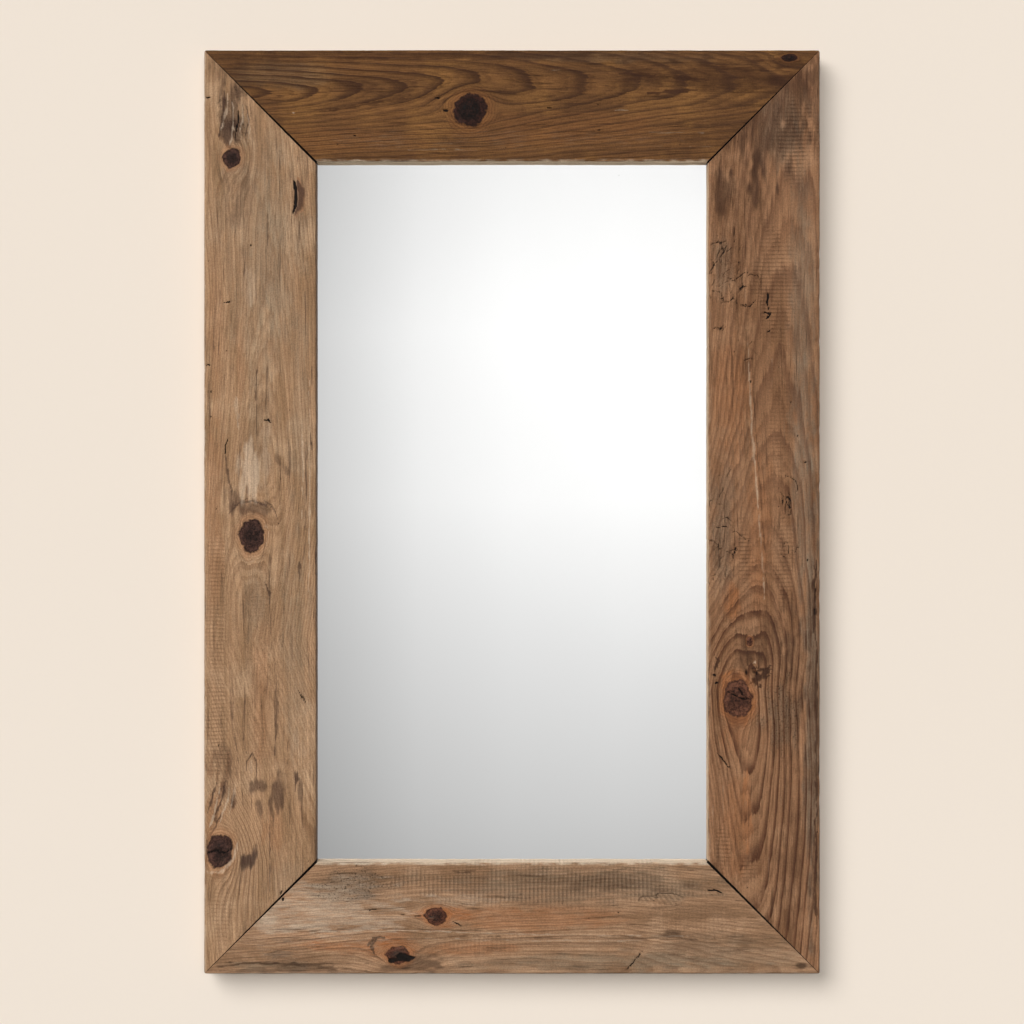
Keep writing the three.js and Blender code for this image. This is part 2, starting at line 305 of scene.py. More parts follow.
@dataclass(frozen=True)
class OldPine:
    """Weathered pine. The board's attributes say where its stains, knots and cracks are, and where shade
    and highlight are painted on its reveal, arrises and mitre gaps.
    """

    name: str
    body: str
    shade: str
    bright: str
    late: str
    deep: str = "#4a3122"
    grey: str = "#84745c"
    warm: str = "#a5653e"
    pale: str = "#c9b092"
    ink: str = "#140c08"
    heart: str = "#251410"
    heart_red: str = "#5a3226"
    ring_depth: float = 0.75
    relief: float = 1.4
    relief_strength: float = 0.85
    shine: float = 0.16

    def dress(self) -> bpy.types.Material:
        """Builds the material.

        Returns:
            The board's material.
        """
        r = Recipe(self.name)
        grain = r.stored("grain")
        ring = r.stored("ring").output("Fac")
        knot = r.stored("knot").output("Fac")
        # dark carries stains, and painted shade on a reveal that faces away from the light
        dark, grey, warm = r.parts(r.stored("stain"))
        # ink carries cracks and pits, and painted shade down the mitre gaps; pale carries rubbed wear, and
        # painted highlight on arrises that face the light
        ink, pale, torn = r.parts(r.stored("wear"))
        saw, saw_phase, ring_show = r.parts(r.stored("cut"))

        broad = r.noise(grain, (5, 70, 70), 6, 0.6)
        fibre = r.noise(grain, (10, 400, 300), 5, 0.65)
        hair = r.noise(grain, (45, 1300, 900), 3, 0.6)
        fleck = r.noise(grain, (70, 620, 500), 4, 0.7)
        check = r.noise(grain, (13, 240, 200), 3, 0.65).step(0.60, 0.70)
        mottle = r.noise(r.place(), (22, 22, 22), 5, 0.6)
        crumb = r.noise(r.place(), (760, 760, 760), 3, 0.7)
        threads = fibre.step(0.30, 0.70)
        break_up = fleck.step(0.32, 0.68) * 0.6 + mottle.step(0.32, 0.68) * 0.4

        turned = (ring + (fibre - 0.5) * 0.35 + (broad - 0.5) * 0.5).wrap()
        late = turned.step(0.50, 0.93) * (1 - turned.step(0.94, 1.0))
        fine = (ring * 2.1 + (fibre - 0.5) * 1.2).wrap().step(0.45, 1.0)

        wood = r.mix(broad.step(0.36, 0.62), linear(self.shade), linear(self.body))
        wood = r.mix(mottle.step(0.45, 0.70) * 0.75, wood, linear(self.bright))
        wood = r.mix(warm * (0.35 + break_up * 0.9), wood, linear(self.warm))
        wood = r.mix(grey * (0.35 + break_up * 0.9), wood, linear(self.grey))
        wood = r.mix(fine * 0.36, wood, linear(self.late))
        wood = r.mix(late * ring_show * self.ring_depth, wood, linear(self.late))
        # Deep tone over stains, and painted shade on a reveal turned from the light.
        wood = r.mix(self.broken(dark, break_up), wood, linear(self.deep))

        grit = r.noise(r.place(), (230, 230, 230), 4, 0.7)
        lump = r.noise(r.place(), (95, 95, 95), 2)
        near = knot + (grit - 0.5) * 0.16 + (lump - 0.5) * 0.22 + (hair - 0.5) * 0.08
        halo = near.step(0.16, 0.50) * 0.6
        wood = r.mix(halo * (0.2 + broad), wood, linear(self.warm))
        hoops = (knot * 11.0 + (broad - 0.5) * 1.2).wrap().step(0.55, 0.95) * near.step(0.04, 0.30)
        wood = r.mix(hoops * 0.42, wood, linear(self.late))
        pulse = (knot * 8.0 + (grit - 0.5) * 4.0).wrap().step(0.2, 0.9)
        red = (1 - near.step(0.53, 0.78)) * 0.75 + pulse * 0.25 + grit.step(0.45, 0.66) * 0.35
        heart = r.mix(red.math("MINIMUM", 1.0), linear(self.heart), linear(self.heart_red))
        split = 1 - (grit - 0.5).math("ABSOLUTE").step(0.004, 0.028)
        heart = r.mix(split * 0.8, heart, linear(self.ink))
        inside = near.step(0.455, 0.535)
        wood = r.mix(inside, wood, heart)
        rim = inside * (1 - near.step(0.50, 0.62))
        wood = r.mix(rim * grit.step(0.35, 0.6) * 0.75, wood, linear(self.ink))

        # Pale tone over rubbed wear and pale reveals, and painted highlight on arrises that face the
        # light.
        wood = r.mix(self.broken(pale, break_up), wood, linear(self.pale))
        wave = (saw_phase * TURN).math("SINE").step(-0.4, 0.9)
        cut = wave * saw * (0.35 + threads * 0.9)
        tone = 0.55 + threads * 0.30 + hair.step(0.25, 0.75) * 0.32 + crumb.step(0.34, 0.66) * 0.30
        wood = r.dim(wood, tone * (1 - cut * 0.34))
        wood = r.mix(check * (1 - inside) * 0.42, wood, linear(self.deep))
        pits = r.noise(r.place(), (520, 520, 520), 2).step(0.56, 0.66) * torn * 0.6
        # Ink black in cracks, pits and tracks, and painted shade down the mitre gaps.
        gap = (ink - fleck.step(0.25, 0.75) * 0.35).step(0.08, 0.5).math("MAXIMUM", pits)
        wood = r.mix(gap, wood, linear(self.ink))

        height = threads * 0.35 + hair * 0.30 + late * ring_show * 0.30 + crumb * 0.35
        height = height + (crumb + fleck) * torn * 1.4 - cut * 0.5 - gap * 0.9 - check * 0.5
        height = height + (pulse * 0.3 - split * 0.5) * inside
        gloss = 0.84 - late * 0.10 - inside * 0.12
        return r.finish(
            Base_Color=wood,
            Roughness=gloss,
            Specular_IOR_Level=self.shine,
            Normal=r.bump(height, self.relief * MM, self.relief_strength),
        )

    @staticmethod
    def broken(cover: Signal, texture: Signal) -> Signal:
        """Breaks a soft cover into fibres: a spot is covered where the cover outweighs the texture.

        Args:
            cover: How much of the wood is covered, 0 to 1.
            texture: The fibres, 0 to 1.

        Returns:
            The broken cover, still 0 where the cover is 0 and 1 where it is 1.
        """
        return cover * (cover - texture * 0.6).step(-0.3, 0.35)


@dataclass(frozen=True)
class Mirror:
    """Silvered float glass: a bright clean reflection with the faint green of the glass."""

    tint: str = "#fefefd"
    dust: str = "#e6e8e4"

    def dress(self) -> bpy.types.Material:
        """Builds the material.

        Returns:
            The glass's material.
        """
        r = Recipe("silvered_glass")
        haze = r.noise(r.place(), (7, 7, 7), 3)
        speck = r.noise(r.place(), (240, 240, 240), 1).step(0.80, 0.86)
        colour = r.mix(speck * 0.5, linear(self.tint), linear(self.dust))
        return r.finish(Base_Color=colour, Metallic=1.0, Roughness=0.012 + haze * 0.02)


@dataclass(frozen=True)
class Plated:
    """Plated steel: small cloudy crystals, rubbed spots and a dull film in the low places."""

    name: str
    metal: str
    dull: str
    rust: str = "#5b3a26"
    roughness: float = 0.34

    def dress(self) -> bpy.types.Material:
        """Builds the material.

        Returns:
            The plating's material.
        """
        r = Recipe(self.name)
        place = r.place()
        crystals = r.node(
            "TexVoronoi", {"feature": "F1"}, {"Vector": place, "Scale": 260.0}, "Color"
        )
        cloud = r.noise(place, (120, 120, 120), 4)
        brushed = r.noise(place, (60, 900, 1800), 2)
        metal = r.mix(cloud.step(0.35, 0.7), linear(self.metal), linear(self.dull))
        metal = r.mix(0.12, metal, crystals, "OVERLAY")
        spots = r.noise(place, (420, 420, 420), 3).step(0.66, 0.74)
        metal = r.mix(spots * 0.8, metal, linear(self.rust))
        return r.finish(
            Base_Color=metal,
            Metallic=1 - spots * 0.9,
            Roughness=self.roughness + cloud * 0.22 + spots * 0.3,
            Normal=r.bump(brushed + cloud - spots, 0.06 * MM, 0.8),
        )


@dataclass(frozen=True)
class Grainy:
    """Board, card or rubber: a tone with fibres or specks and a soft relief."""

    name: str
    body: str
    shade: str
    speck: str
    stretch: Triple
    roughness: float = 0.85
    depth: float = 0.15
    ribs: float = 0.0

    def dress(self) -> bpy.types.Material:
        """Builds the material.

        Returns:
            The sheet's material.
        """
        r = Recipe(self.name)
        place = r.place()
        fibre = r.noise(place, self.stretch, 4, 0.65)
        cloud = r.noise(place, (11, 11, 11), 4)
        speck = r.noise(place, (900, 900, 900), 2).step(0.6, 0.72)
        body = r.mix(fibre.step(0.35, 0.65), linear(self.shade), linear(self.body))
        body = r.mix(cloud.step(0.4, 0.75) * 0.5, body, linear(self.shade))
        body = r.mix(speck * 0.5, body, linear(self.speck))
        height = fibre + speck * 0.3
        if self.ribs:
            across = r.parts(place)[0]
            rib = (across * self.ribs * TURN).math("SINE").step(-1.0, 1.0)
            body = r.dim(body, 0.9 + rib * 0.12)
            height = height + rib
        return r.finish(
            Base_Color=body,
            Roughness=self.roughness - speck * 0.1,
            Normal=r.bump(height, self.depth * MM, 0.8),
        )


# ---------------------------------------------------------------- fields


def chance(u: np.ndarray, v: np.ndarray, seed: int) -> np.ndarray:
    """Repeatable number from 0 to 1 for whole-numbered cells.

    Each cell's two numbers and the seed are multiplied by large primes, added, and
    scrambled by shifts, so that neighbours have nothing in common.

    Args:
        u: Cell numbers one way.
        v: Cell numbers the other way.
        seed: Which table of numbers to use.

    Returns:
        One number for each cell.
    """
    h = u.astype(np.int64) * 374761393 + v.astype(np.int64) * 668265263 + seed * 974634777
    h = (h & 0xFFFFFFFF) * 1274126177
    h = (h ^ (h >> 15)) & 0xFFFFFFFF
    h = (h * 668265263) & 0xFFFFFFFFFF
    return ((h ^ (h >> 13)) & 0xFFFF) / 65535.0


def drift(u: np.ndarray, v: np.ndarray, seed: int, octaves: int = 1) -> np.ndarray:
    """Smooth noise from about -1 to 1.

    The four nearest cells' chances are blended by the ease curve 3f^2 - 2f^3; each
    further octave has cells half as large and counts half as much.

    Args:
        u: Coordinates one way, one cell to the unit.
        v: Coordinates the other way.
        seed: Which noise to use.
        octaves: How many sizes of cell are added.

    Returns:
        The noise at each point.
    """
    total = np.zeros(np.broadcast(u, v).shape)
    weight = 1.0
    for octave in range(octaves):
        a, b = u * 2.0 ** octave, v * 2.0 ** octave
        i, j = np.floor(a), np.floor(b)
        f, g = a - i, b - j
        f, g = f * f * (3 - 2 * f), g * g * (3 - 2 * g)
        corner = [chance(i + p, j + q, seed + octave) for p in (0, 1) for q in (0, 1)]
        low = corner[0] * (1 - g) + corner[1] * g
        high = corner[2] * (1 - g) + corner[3] * g
        total += weight * (low * (1 - f) + high * f - 0.5) * 2
        weight *= 0.5
    return total


def ease(value: np.ndarray, low: float, high: float) -> np.ndarray:
    """Eases from 0 at low to 1 at high, along 3f^2 - 2f^3."""
    f = np.clip((value - low) / (high - low), 0, 1)
    return f * f * (3 - 2 * f)


class Mark(Enum):
    """What a stroke or patch leaves on the wood."""

    INK = "ink"
    DARK = "dark"
    GREY = "grey"
    WARM = "warm"
    PALE = "pale"
    TORN = "torn"
    RINGS = "rings"


@dataclass(frozen=True)
class Knot:
    """A branch cut through by the board's face. Millimetres from the board's middle."""

    at: Pair
    size: Pair
    swell: float = 0.0
    reach: Pair = (40.0, 22.0)
    lean: float = 0.35


@dataclass(frozen=True)
class Stroke:
    """A crack, streak or track along a line of points. Millimetres."""

    mark: Mark
    path: tuple[Pair, ...]
    width: float
    strength: float = 1.0
    ragged: float = 0.3


@dataclass(frozen=True)
class Patch:
    """A soft area of stain, wear or visible rings. Millimetres; turn in degrees."""

    mark: Mark
    at: Pair
    reach: Pair
    strength: float = 0.6
    turn: float = 0.0
    ragged: float = 0.35


@dataclass(frozen=True)
class Tracks:
    """Shallow winding galleries that beetle grubs cut under the bark. Millimetres."""

    at: Pair
    reach: Pair
    count: int


@dataclass(frozen=True)
class SawBand:
    """An area where the saw's teeth still show as ripples across the board."""

    at: Pair
    reach: Pair
    strength: float = 0.7
    pitch: float = SAW_PITCH
    turn: float = 0.0


@dataclass(frozen=True)
class Nick:
    """A chip out of an arris: outer is 1 for the outer one and 0 for the inner one."""

    along: float
    outer: int
    length: float
    depth: float


def make(kind: type[Thing], *rows: tuple) -> tuple[Thing, ...]:
    """One thing of a kind for each row of its values."""
    return tuple(kind(*row) for row in rows)


def lay(kind: type[Thing], mark: Mark, *rows: tuple) -> tuple[Thing, ...]:
    """Strokes or patches of one mark, one for each row of their other values."""
    return tuple(kind(mark, *row) for row in rows)


class Timber:
    """The fields of one board, on arrays of points inside it. Millimetres."""

    def __init__(self, s: np.ndarray, t: np.ndarray, n: np.ndarray, seed: int) -> None:
        """Keeps the points.

        Args:
            s: Distance along the board from its middle.
            t: Distance across it, up or to the right.
            n: Depth below the face.
            seed: The board's own noise.
        """
        self.s, self.t, self.n, self.seed = s, t, n, seed
        self.layer = {mark: np.zeros(s.shape) for mark in Mark}
        self.knot = np.zeros(s.shape)
        self.saw = np.zeros(s.shape)
        self.saw_phase = s / SAW_PITCH
        self.skin = np.exp(-(n / 9.0) ** 2)
        self.bend = np.zeros(s.shape)
        self.lift = np.zeros(s.shape)

    def add_knot(self, knot: Knot) -> None:
        """Bends the grain round a branch and marks its heart.

        The branch's distance is its elliptical radius, so 1 is its rim. Fibres pass as water
        passes a post: their offset shrinks by one over that radius squared. The rings rise
        towards it along a bell curve, and the heart's closeness falls from 1 to 0 at two radii.

        Args:
            knot: The branch.
        """
        away_s = self.s - knot.at[0] - knot.lean * self.n
        away_t = self.t - knot.at[1]
        angle = np.arctan2(away_t, away_s)
        wobble = 1 + 0.10 * drift(angle * 1.3, self.n / 14, self.seed + 71)
        wobble += 0.05 * drift(angle * 3.9, self.n / 9, self.seed + 72)
        radius = np.hypot(away_s / knot.size[0], away_t / knot.size[1]) * wobble
        post = np.maximum(np.hypot(away_s / (knot.size[0] * 1.5), away_t / knot.size[1]), 1.0)
        self.bend -= away_t / post ** 2 * 0.9
        bell = (away_s / knot.reach[0]) ** 2 + (away_t / knot.reach[1]) ** 2
        self.lift += knot.swell * np.exp(-bell)
        self.knot = np.maximum(self.knot, np.clip(1 - radius / 2, 0, 1))

    def add_stroke(self, stroke: Stroke) -> None:
        """Lays a stroke.

        Its strength falls off with the distance to the line of points, over a half width
        that narrows to nothing at both ends as the root of a parabola.

        Args:
            stroke: The stroke.
        """
        path = np.array(stroke.path)
        room = stroke.width * 2 + 2
        low, high = path.min(0) - room, path.max(0) + room
        near = (self.s > low[0]) & (self.s < high[0]) & (self.t > low[1]) & (self.t < high[1])
        s, t = self.s[near], self.t[near]
        rag = stroke.ragged * stroke.width
        t = t + rag * drift(s / 9, t / 1.7, self.seed + 5, 2) * 1.4
        s = s + rag * drift(s / 2.5, t / 1.4, self.seed + 6) * 1.5
        if len(path) == 1:
            gap = np.hypot(s - path[0, 0], t - path[0, 1])
            half = stroke.width / 2
        else:
            gap, share = self._to_path(s, t, path)
            half = stroke.width / 2 * np.sqrt(np.clip(1 - (2 * share - 1) ** 2, 0.02, 1))
        value = stroke.strength * (1 - ease(gap / half, 0.5, 1.35)) * self.skin[near]
        self._over(stroke.mark, near, value)

    @staticmethod
    def _to_path(s: np.ndarray, t: np.ndarray, path: np.ndarray) -> tuple[np.ndarray, np.ndarray]:
        """Measures from each place to the nearest point of a line of straight steps.

        The foot of the perpendicular on each step is held between its ends, and the step
        with the shortest one is kept.

        Args:
            s: Places along the board.
            t: Places across it.
            path: The line's points.

        Returns:
            The distance to the line, and how far along it that is, 0 to 1.
        """
        steps = np.hypot(*np.diff(path, axis=0).T)
        starts = np.concatenate([[0], np.cumsum(steps)])
        best = np.full(s.shape, np.inf)
        share = np.zeros(s.shape)
        for k, length in enumerate(steps):
            ds, dt = (path[k + 1] - path[k]) / length
            run = np.clip((s - path[k, 0]) * ds + (t - path[k, 1]) * dt, 0, length)
            gap = np.hypot(s - path[k, 0] - run * ds, t - path[k, 1] - run * dt)
            closer = gap < best
            best = np.where(closer, gap, best)
            share = np.where(closer, (starts[k] + run) / starts[-1], share)
        return best, share

    def add_patch(self, patch: Patch) -> None:
        """Lays a patch: a bell over an ellipse, its edge broken by streaky noise.

        Args:
            patch: The patch.
        """
        value = patch.strength * self._bell(patch.at, patch.reach, patch.turn, patch.ragged)
        near = value != 0
        self._over(patch.mark, near, value[near])

    def _bell(self, at: Pair, reach: Pair, turn: float, ragged: float) -> np.ndarray:
        """A turned ellipse that is 1 in its middle and eases to 0 past its rim.

        Args:
            at: Its middle.
            reach: Its half length and half width.
            turn: How far it is turned, in degrees.
            ragged: How much streaky noise breaks its rim.

        Returns:
            The value at each point.
        """
        ds, dt = self.s - at[0], self.t - at[1]
        c, d = math.cos(math.radians(turn)), math.sin(math.radians(turn))
        radius = np.hypot((ds * c + dt * d) / reach[0], (dt * c - ds * d) / reach[1])
        radius = radius + ragged * drift(self.s / 16, self.t / 4.5, self.seed + 11, 3)
        return 1 - ease(radius, 0.45, 1.25)

    def add_tracks(self, tracks: Tracks) -> None:
        """Lays galleries: short walks that turn a little at each step.

        Each heading starts along or across the grain and drifts; a step is 2 to 5 mm.

        Args:
            tracks: The area and how many galleries are in it.
        """
        rng = np.random.default_rng(int(abs(tracks.at[0] * 10) + abs(tracks.at[1]) + self.seed))
        for _ in range(tracks.count):
            start = np.array(tracks.at) + rng.uniform(-1, 1, 2) * tracks.reach
            heading = rng.choice([0.0, 0.5, 0.0]) * math.pi + rng.normal(0, 0.25)
            turns = np.cumsum(rng.normal(0, 0.55, rng.integers(3, 8))) + heading
            along = np.stack([np.cos(turns), np.sin(turns)], -1)
            steps = rng.uniform(2, 5, turns.size)[:, None] * along
            walk = np.vstack([start, start + np.cumsum(steps, axis=0)])
            path = tuple((float(a), float(b)) for a, b in walk)
            width, strength = rng.uniform(0.9, 1.4), rng.uniform(0.35, 0.65)
            self.add_stroke(Stroke(Mark.INK, path, width, strength, 0.2))

    def add_saw(self, band: SawBand) -> None:
        """Lays saw ripples: a phase that rises by one for each pitch, and how strong they are.

        Args:
            band: The band.
        """
        value = band.strength * self._bell(band.at, band.reach, 0.0, 0.3)
        turn = math.radians(band.turn)
        sway = 0.18 * drift(self.s / 40, self.t / 25, self.seed + 17)
        phase = (self.s * math.cos(turn) + self.t * math.sin(turn)) / band.pitch + sway
        self.saw_phase = np.where(value > self.saw, phase, self.saw_phase)
        self.saw = np.maximum(self.saw, value)

    def _over(self, mark: Mark, near: np.ndarray, value: np.ndarray) -> None:
        """Adds to a layer, which leaves less room for more, or takes away below 0."""
        old = self.layer[mark][near]
        new = np.where(value > 0, old + value - old * value, old + value)
        self.layer[mark][near] = np.clip(new, 0, 1)


# ---------------------------------------------------------------- boards


class Side(Enum):
    """The four boards: CAD node, axis that the grain follows, and which way is outward."""

    TOP = ("top_rail", 0, 1.0)
    RIGHT = ("right_stile", 2, 1.0)
    BOTTOM = ("bottom_rail", 0, -1.0)
    LEFT = ("left_stile", 2, -1.0)


def put_mesh(
    name: str, points: np.ndarray, faces: list[list[int]], material: bpy.types.Material
) -> bpy.types.Object:
    """Makes an object at the origin from points and faces.

    Args:
        name: The piece's name.
        points: Rows of x, y and z in metres.
        faces: Corner numbers of each face.
        material: The piece's finish.

    Returns:
        The object, shaded smooth except across sharp edges.
    """
    mesh = bpy.data.meshes.new(name)
    mesh.from_pydata(points.tolist(), [], faces)
    mesh.materials.append(material)
    mesh.shade_smooth()
    mesh.set_sharp_from_angle(angle=math.radians(50))
    mesh.validate()
    piece = bpy.data.objects.new(name, mesh)
    bpy.context.scene.collection.objects.link(piece)
    return piece


def loft(grid: np.ndarray) -> tuple[np.ndarray, list[list[int]]]:
    """Joins closed loops into a solid with a face on each end.

    Point k of each loop is joined to point k + 1 and to the next loop. The sum of the
    tetrahedra from the origin gives the volume, and the faces are turned over if it is
    negative, so that they always point outwards.

    Args:
        grid: Loops by points by x, y and z.

    Returns:
        The points in one list, and the faces.
    """
    rows, count = grid.shape[:2]
    points = grid.reshape(-1, 3)
    row = np.arange(rows - 1)[:, None] * count
    here, after = np.arange(count)[None, :], (np.arange(count) + 1)[None, :] % count
    near, far = row + here, row + after
    quads = np.stack([near, far, far + count, near + count], -1).reshape(-1, 4)
    corner = points[quads]
    volume = np.einsum("ij,ij->", corner[:, 0], np.cross(corner[:, 1], corner[:, 2]))
    volume += np.einsum("ij,ij->", corner[:, 0], np.cross(corner[:, 2], corner[:, 3]))
    start = list(range(count))[::-1]
    end = list(range((rows - 1) * count, rows * count))
    faces = quads.tolist() + [start, end]
    if volume < 0:
        faces = [face[::-1] for face in faces]
    return points, faces


@dataclass
class Board:
    """One mitred board: its section carried from mitre to mitre, and its own figure.

    Stations of the pith give, along the board, where the tree's centre lies across it and
    how deep below the face, all in millimetres.
    """

    side: Side
    finish: OldPine
    rows: int
    seed: int
    pith: tuple[Triple, ...]
    ring_spacing: float
    ring_base: float
    gaps: Pair
    knots: tuple[Knot, ...] = ()
    marks: tuple["Stroke | Patch | Tracks", ...] = ()
    saws: tuple[SawBand, ...] = ()
    nicks: tuple[Nick, ...] = ()
    pits: int = 26
    warp: float = 2.0
    # The reveal's mark: pale wood, or a dark mark that is painted shade where the reveal faces away from
    # the light.
    reveal: tuple[Mark, float] = (Mark.PALE, 0.5)
    # Arris paleness: rubbed wear, plus painted highlight that is set per side by how the arris faces the
    # light.
    inner_arris_wear_and_highlight: float = 0.2
    outer_arris_wear_and_highlight: float = 0.2
    seam_depth: float = 4.0
    lip: float = 15.1
    rebate: float = 12.0
    inner_arris: float = 2.0
    outer_arris: float = 2.5
    back_arris: float = 1.0
    outer_gap: float = 0.35
    corner: float = 3.0
    across_points: int = 98
    width: float = field(init=False)
    thick: float = field(init=False)
    inner_half: float = field(init=False)
    middle: float = field(init=False)
    inner_edge: float = field(init=False)
    front: float = field(init=False)

    def __post_init__(self) -> None:
        """Takes the board's width, thickness and inner length from the CAD boxes."""
        node, axis, outward = self.side.value
        low, high = (np.array(corner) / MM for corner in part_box(node))
        other = 2 - axis
        self.width = high[other] - low[other]
        self.thick = high[1] - low[1]
        self.middle = (low[axis] + high[axis]) / 2
        self.inner_edge = low[other] if outward > 0 else high[other]
        self.front = low[1]
        overall = (CAD_BOUNDS[1][axis] - CAD_BOUNDS[0][axis]) / MM
        self.inner_half = overall / 2 - self.width

    def section(self) -> tuple[np.ndarray, np.ndarray]:
        """The board's outline across the grain.

        Straight runs of evenly spaced points, and quarter circles for the arrises: inner
        wall, inner arris, face, outer arris, outer side, back arris, back, rebate.

        Returns:
            Points of distance from the inner edge and depth below the face, and the
            outward direction at each.
        """
        w, d = self.width, self.thick
        a, b, c = self.inner_arris, self.outer_arris, self.back_arris
        quarter = np.linspace(0, math.pi / 2, ARRIS_POINTS)
        runs = [
            np.linspace((0, self.lip), (0, a), WALL_STEPS + 1)[:-1],
            np.stack([a - a * np.cos(quarter), a - a * np.sin(quarter)], -1),
            np.linspace((a, 0), (w - b, 0), self.across_points)[1:-1],
            np.stack([w - b + b * np.sin(quarter), b - b * np.cos(quarter)], -1),
            np.linspace((w, b), (w, d - c), 13)[1:-1],
            np.stack([w - c + c * np.cos(quarter), d - c + c * np.sin(quarter)], -1)[::2],
            np.linspace((w - c, d), (self.rebate, d), 7)[1:],
            np.linspace((self.rebate, d), (self.rebate, self.lip), 3)[1:],
            np.linspace((self.rebate, self.lip), (0, self.lip), 3)[1:-1],
        ]
        points = np.concatenate(runs)
        ahead, behind = np.roll(points, -1, 0), np.roll(points, 1, 0)
        tangent = ahead - behind
        normal = np.stack([tangent[:, 1], -tangent[:, 0]], -1)
        return points, normal / np.linalg.norm(normal, axis=1, keepdims=True)

    def layout(self, points: np.ndarray) -> np.ndarray:
        """Distance along the board of every row at every point of the section.

        Each mitre runs at 45 degrees from the inner corner, set back by half its gap, which
        closes from the inner corner to the outer one and from the face down to the seam's
        depth. Rows are shared out evenly between. The first and last rows are the closed
        mitre below the seam.

        Args:
            points: The section.

        Returns:
            Rows by points.
        """
        w = points[:, 0]
        share = w / self.width
        open_here = np.clip(1 - points[:, 1] / self.seam_depth, 0, 1)
        shut = self.inner_half + w - 0.01
        ends = []
        for gap in self.gaps:
            opening = (gap * (1 - share) + self.outer_gap * share) * open_here
            ends.append(shut - 0.02 - opening * math.sqrt(0.5))
        u = np.linspace(0, 1, self.rows)[:, None]
        between = -ends[0] * (1 - u) + ends[1] * u
        return np.vstack([-shut, between, shut])

    def figure(
        self, s: np.ndarray, t: np.ndarray, n: np.ndarray
    ) -> tuple[Timber, np.ndarray, np.ndarray]:
        """Works out the board's grain, knots and marks.

        A point's ring number is its distance to the pith, by Pythagoras across and down,
        divided by the ring spacing, with the knots' bends and lifts and a slow drift added.

        Args:
            s: Distance along the board.
            t: Distance across it.
            n: Depth below the face.

        Returns:
            The marked timber, the ring numbers and the bent distance across.
        """
        timber = Timber(s, t, n, self.seed)
        for knot in self.knots:
            timber.add_knot(knot)
        for mark in self.marks:
            if isinstance(mark, Stroke):
                timber.add_stroke(mark)
            elif isinstance(mark, Tracks):
                timber.add_tracks(mark)
            else:
                timber.add_patch(mark)
        for band in self.saws:
            timber.add_saw(band)
        self.scatter(timber)
        slow = drift(s / 150, t / 60, self.seed + 1, 2) * self.warp
        quick = drift(s / 46, t / 8, self.seed + 2, 2) * 0.35
        bent = t + timber.bend + slow + quick
        stations = np.array(self.pith)
        centre = np.interp(s, stations[:, 0], stations[:, 1])
        depth = np.interp(s, stations[:, 0], stations[:, 2])
        ring = np.hypot(bent - centre, n + depth) / self.ring_spacing
        ring += timber.lift + 0.2 * drift(s / 110, t / 12, self.seed + 3, 2)
        return timber, ring, bent

    def scatter(self, timber: Timber) -> None:
        """Adds the pits, short checks and hairlines that every old board has.

        Args:
            timber: The board's fields.
        """
        rng = np.random.default_rng(self.seed)
        half = self.inner_half + self.width / 2
        for _ in range(self.pits):
            at = (rng.uniform(-half, half), rng.uniform(-0.5, 0.5) * self.width)
            timber.add_stroke(Stroke(Mark.INK, (at,), rng.uniform(0.8, 1.5), rng.uniform(0.3, 0.8)))
        for _ in range(self.pits * 2):
            s, t = rng.uniform(-half, half), rng.uniform(-0.5, 0.5) * self.width
            length, tilt = rng.uniform(6, 38), rng.uniform(-0.5, 0.5)
            pale = rng.integers(4) == 1
            kind = Mark.PALE if pale else Mark.DARK
            strength = rng.uniform(0.25, 0.6) * (0.55 if pale else 1)
            path = ((s, t), (s + length, t + tilt))
            timber.add_stroke(Stroke(kind, path, rng.uniform(0.9, 1.6), strength))

    def sink(self, timber: Timber, ring: np.ndarray, points: np.ndarray) -> np.ndarray:
        """How far each point lies below the planed surface, in millimetres, never above it.

        Early wood is worn away between the rings, saw ripples and torn grain are cut in,
        cracks are deepest, and both arrises are rounded off unevenly and chipped.

        Args:
            timber: The board's fields.
            ring: The ring numbers.
            points: The section.

        Returns:
            The depth at every point.
        """
        s, t = timber.s, timber.t
        layer = timber.layer
        phase = ring % 1.0
        late = ease(phase, 0.3, 0.85) * (1 - ease(phase, 0.92, 1.0))
        down = 0.14 * layer[Mark.RINGS] * (1 - late)
        down += 0.11 * timber.saw * (1 + np.sin(TURN * timber.saw_phase))
        down += layer[Mark.TORN] * (0.35 + 0.35 * drift(s / 3.0, t / 2.0, self.seed + 21, 2))
        down += layer[Mark.INK] * 1.1
        heart = 0.22 + 0.14 * drift(s / 2.5, t / 2.5, self.seed + 22)
        down += ease(timber.knot, 0.47, 0.53) * heart
        down += 0.10 * (1 + drift(s / 90, t / 22, self.seed + 23, 2))
        run = np.concatenate([[0], np.cumsum(np.hypot(*np.diff(points, axis=0).T))])
        inner_at = run[WALL_STEPS + ARRIS_POINTS // 2]
        outer_at = run[WALL_STEPS + ARRIS_POINTS - 1 + self.across_points]
        for place, rate, depth in ((inner_at, 2.2, 0.35), (outer_at, 2.4, 0.45)):
            edge = np.exp(-((run - place) / rate) ** 2)[None, :]
            wear = np.maximum(drift(s / 13, s * 0 + place, self.seed + 24, 3) + 0.25, 0)
            down += edge * wear * depth
        for nick in self.nicks:
            place = outer_at if nick.outer else inner_at
            edge = np.exp(-((run - place) / (1.2 + nick.depth * 1.4)) ** 2)[None, :]
            down += nick.depth * edge * np.exp(-((s - nick.along) / nick.length) ** 2)
        return np.maximum(down, 0)

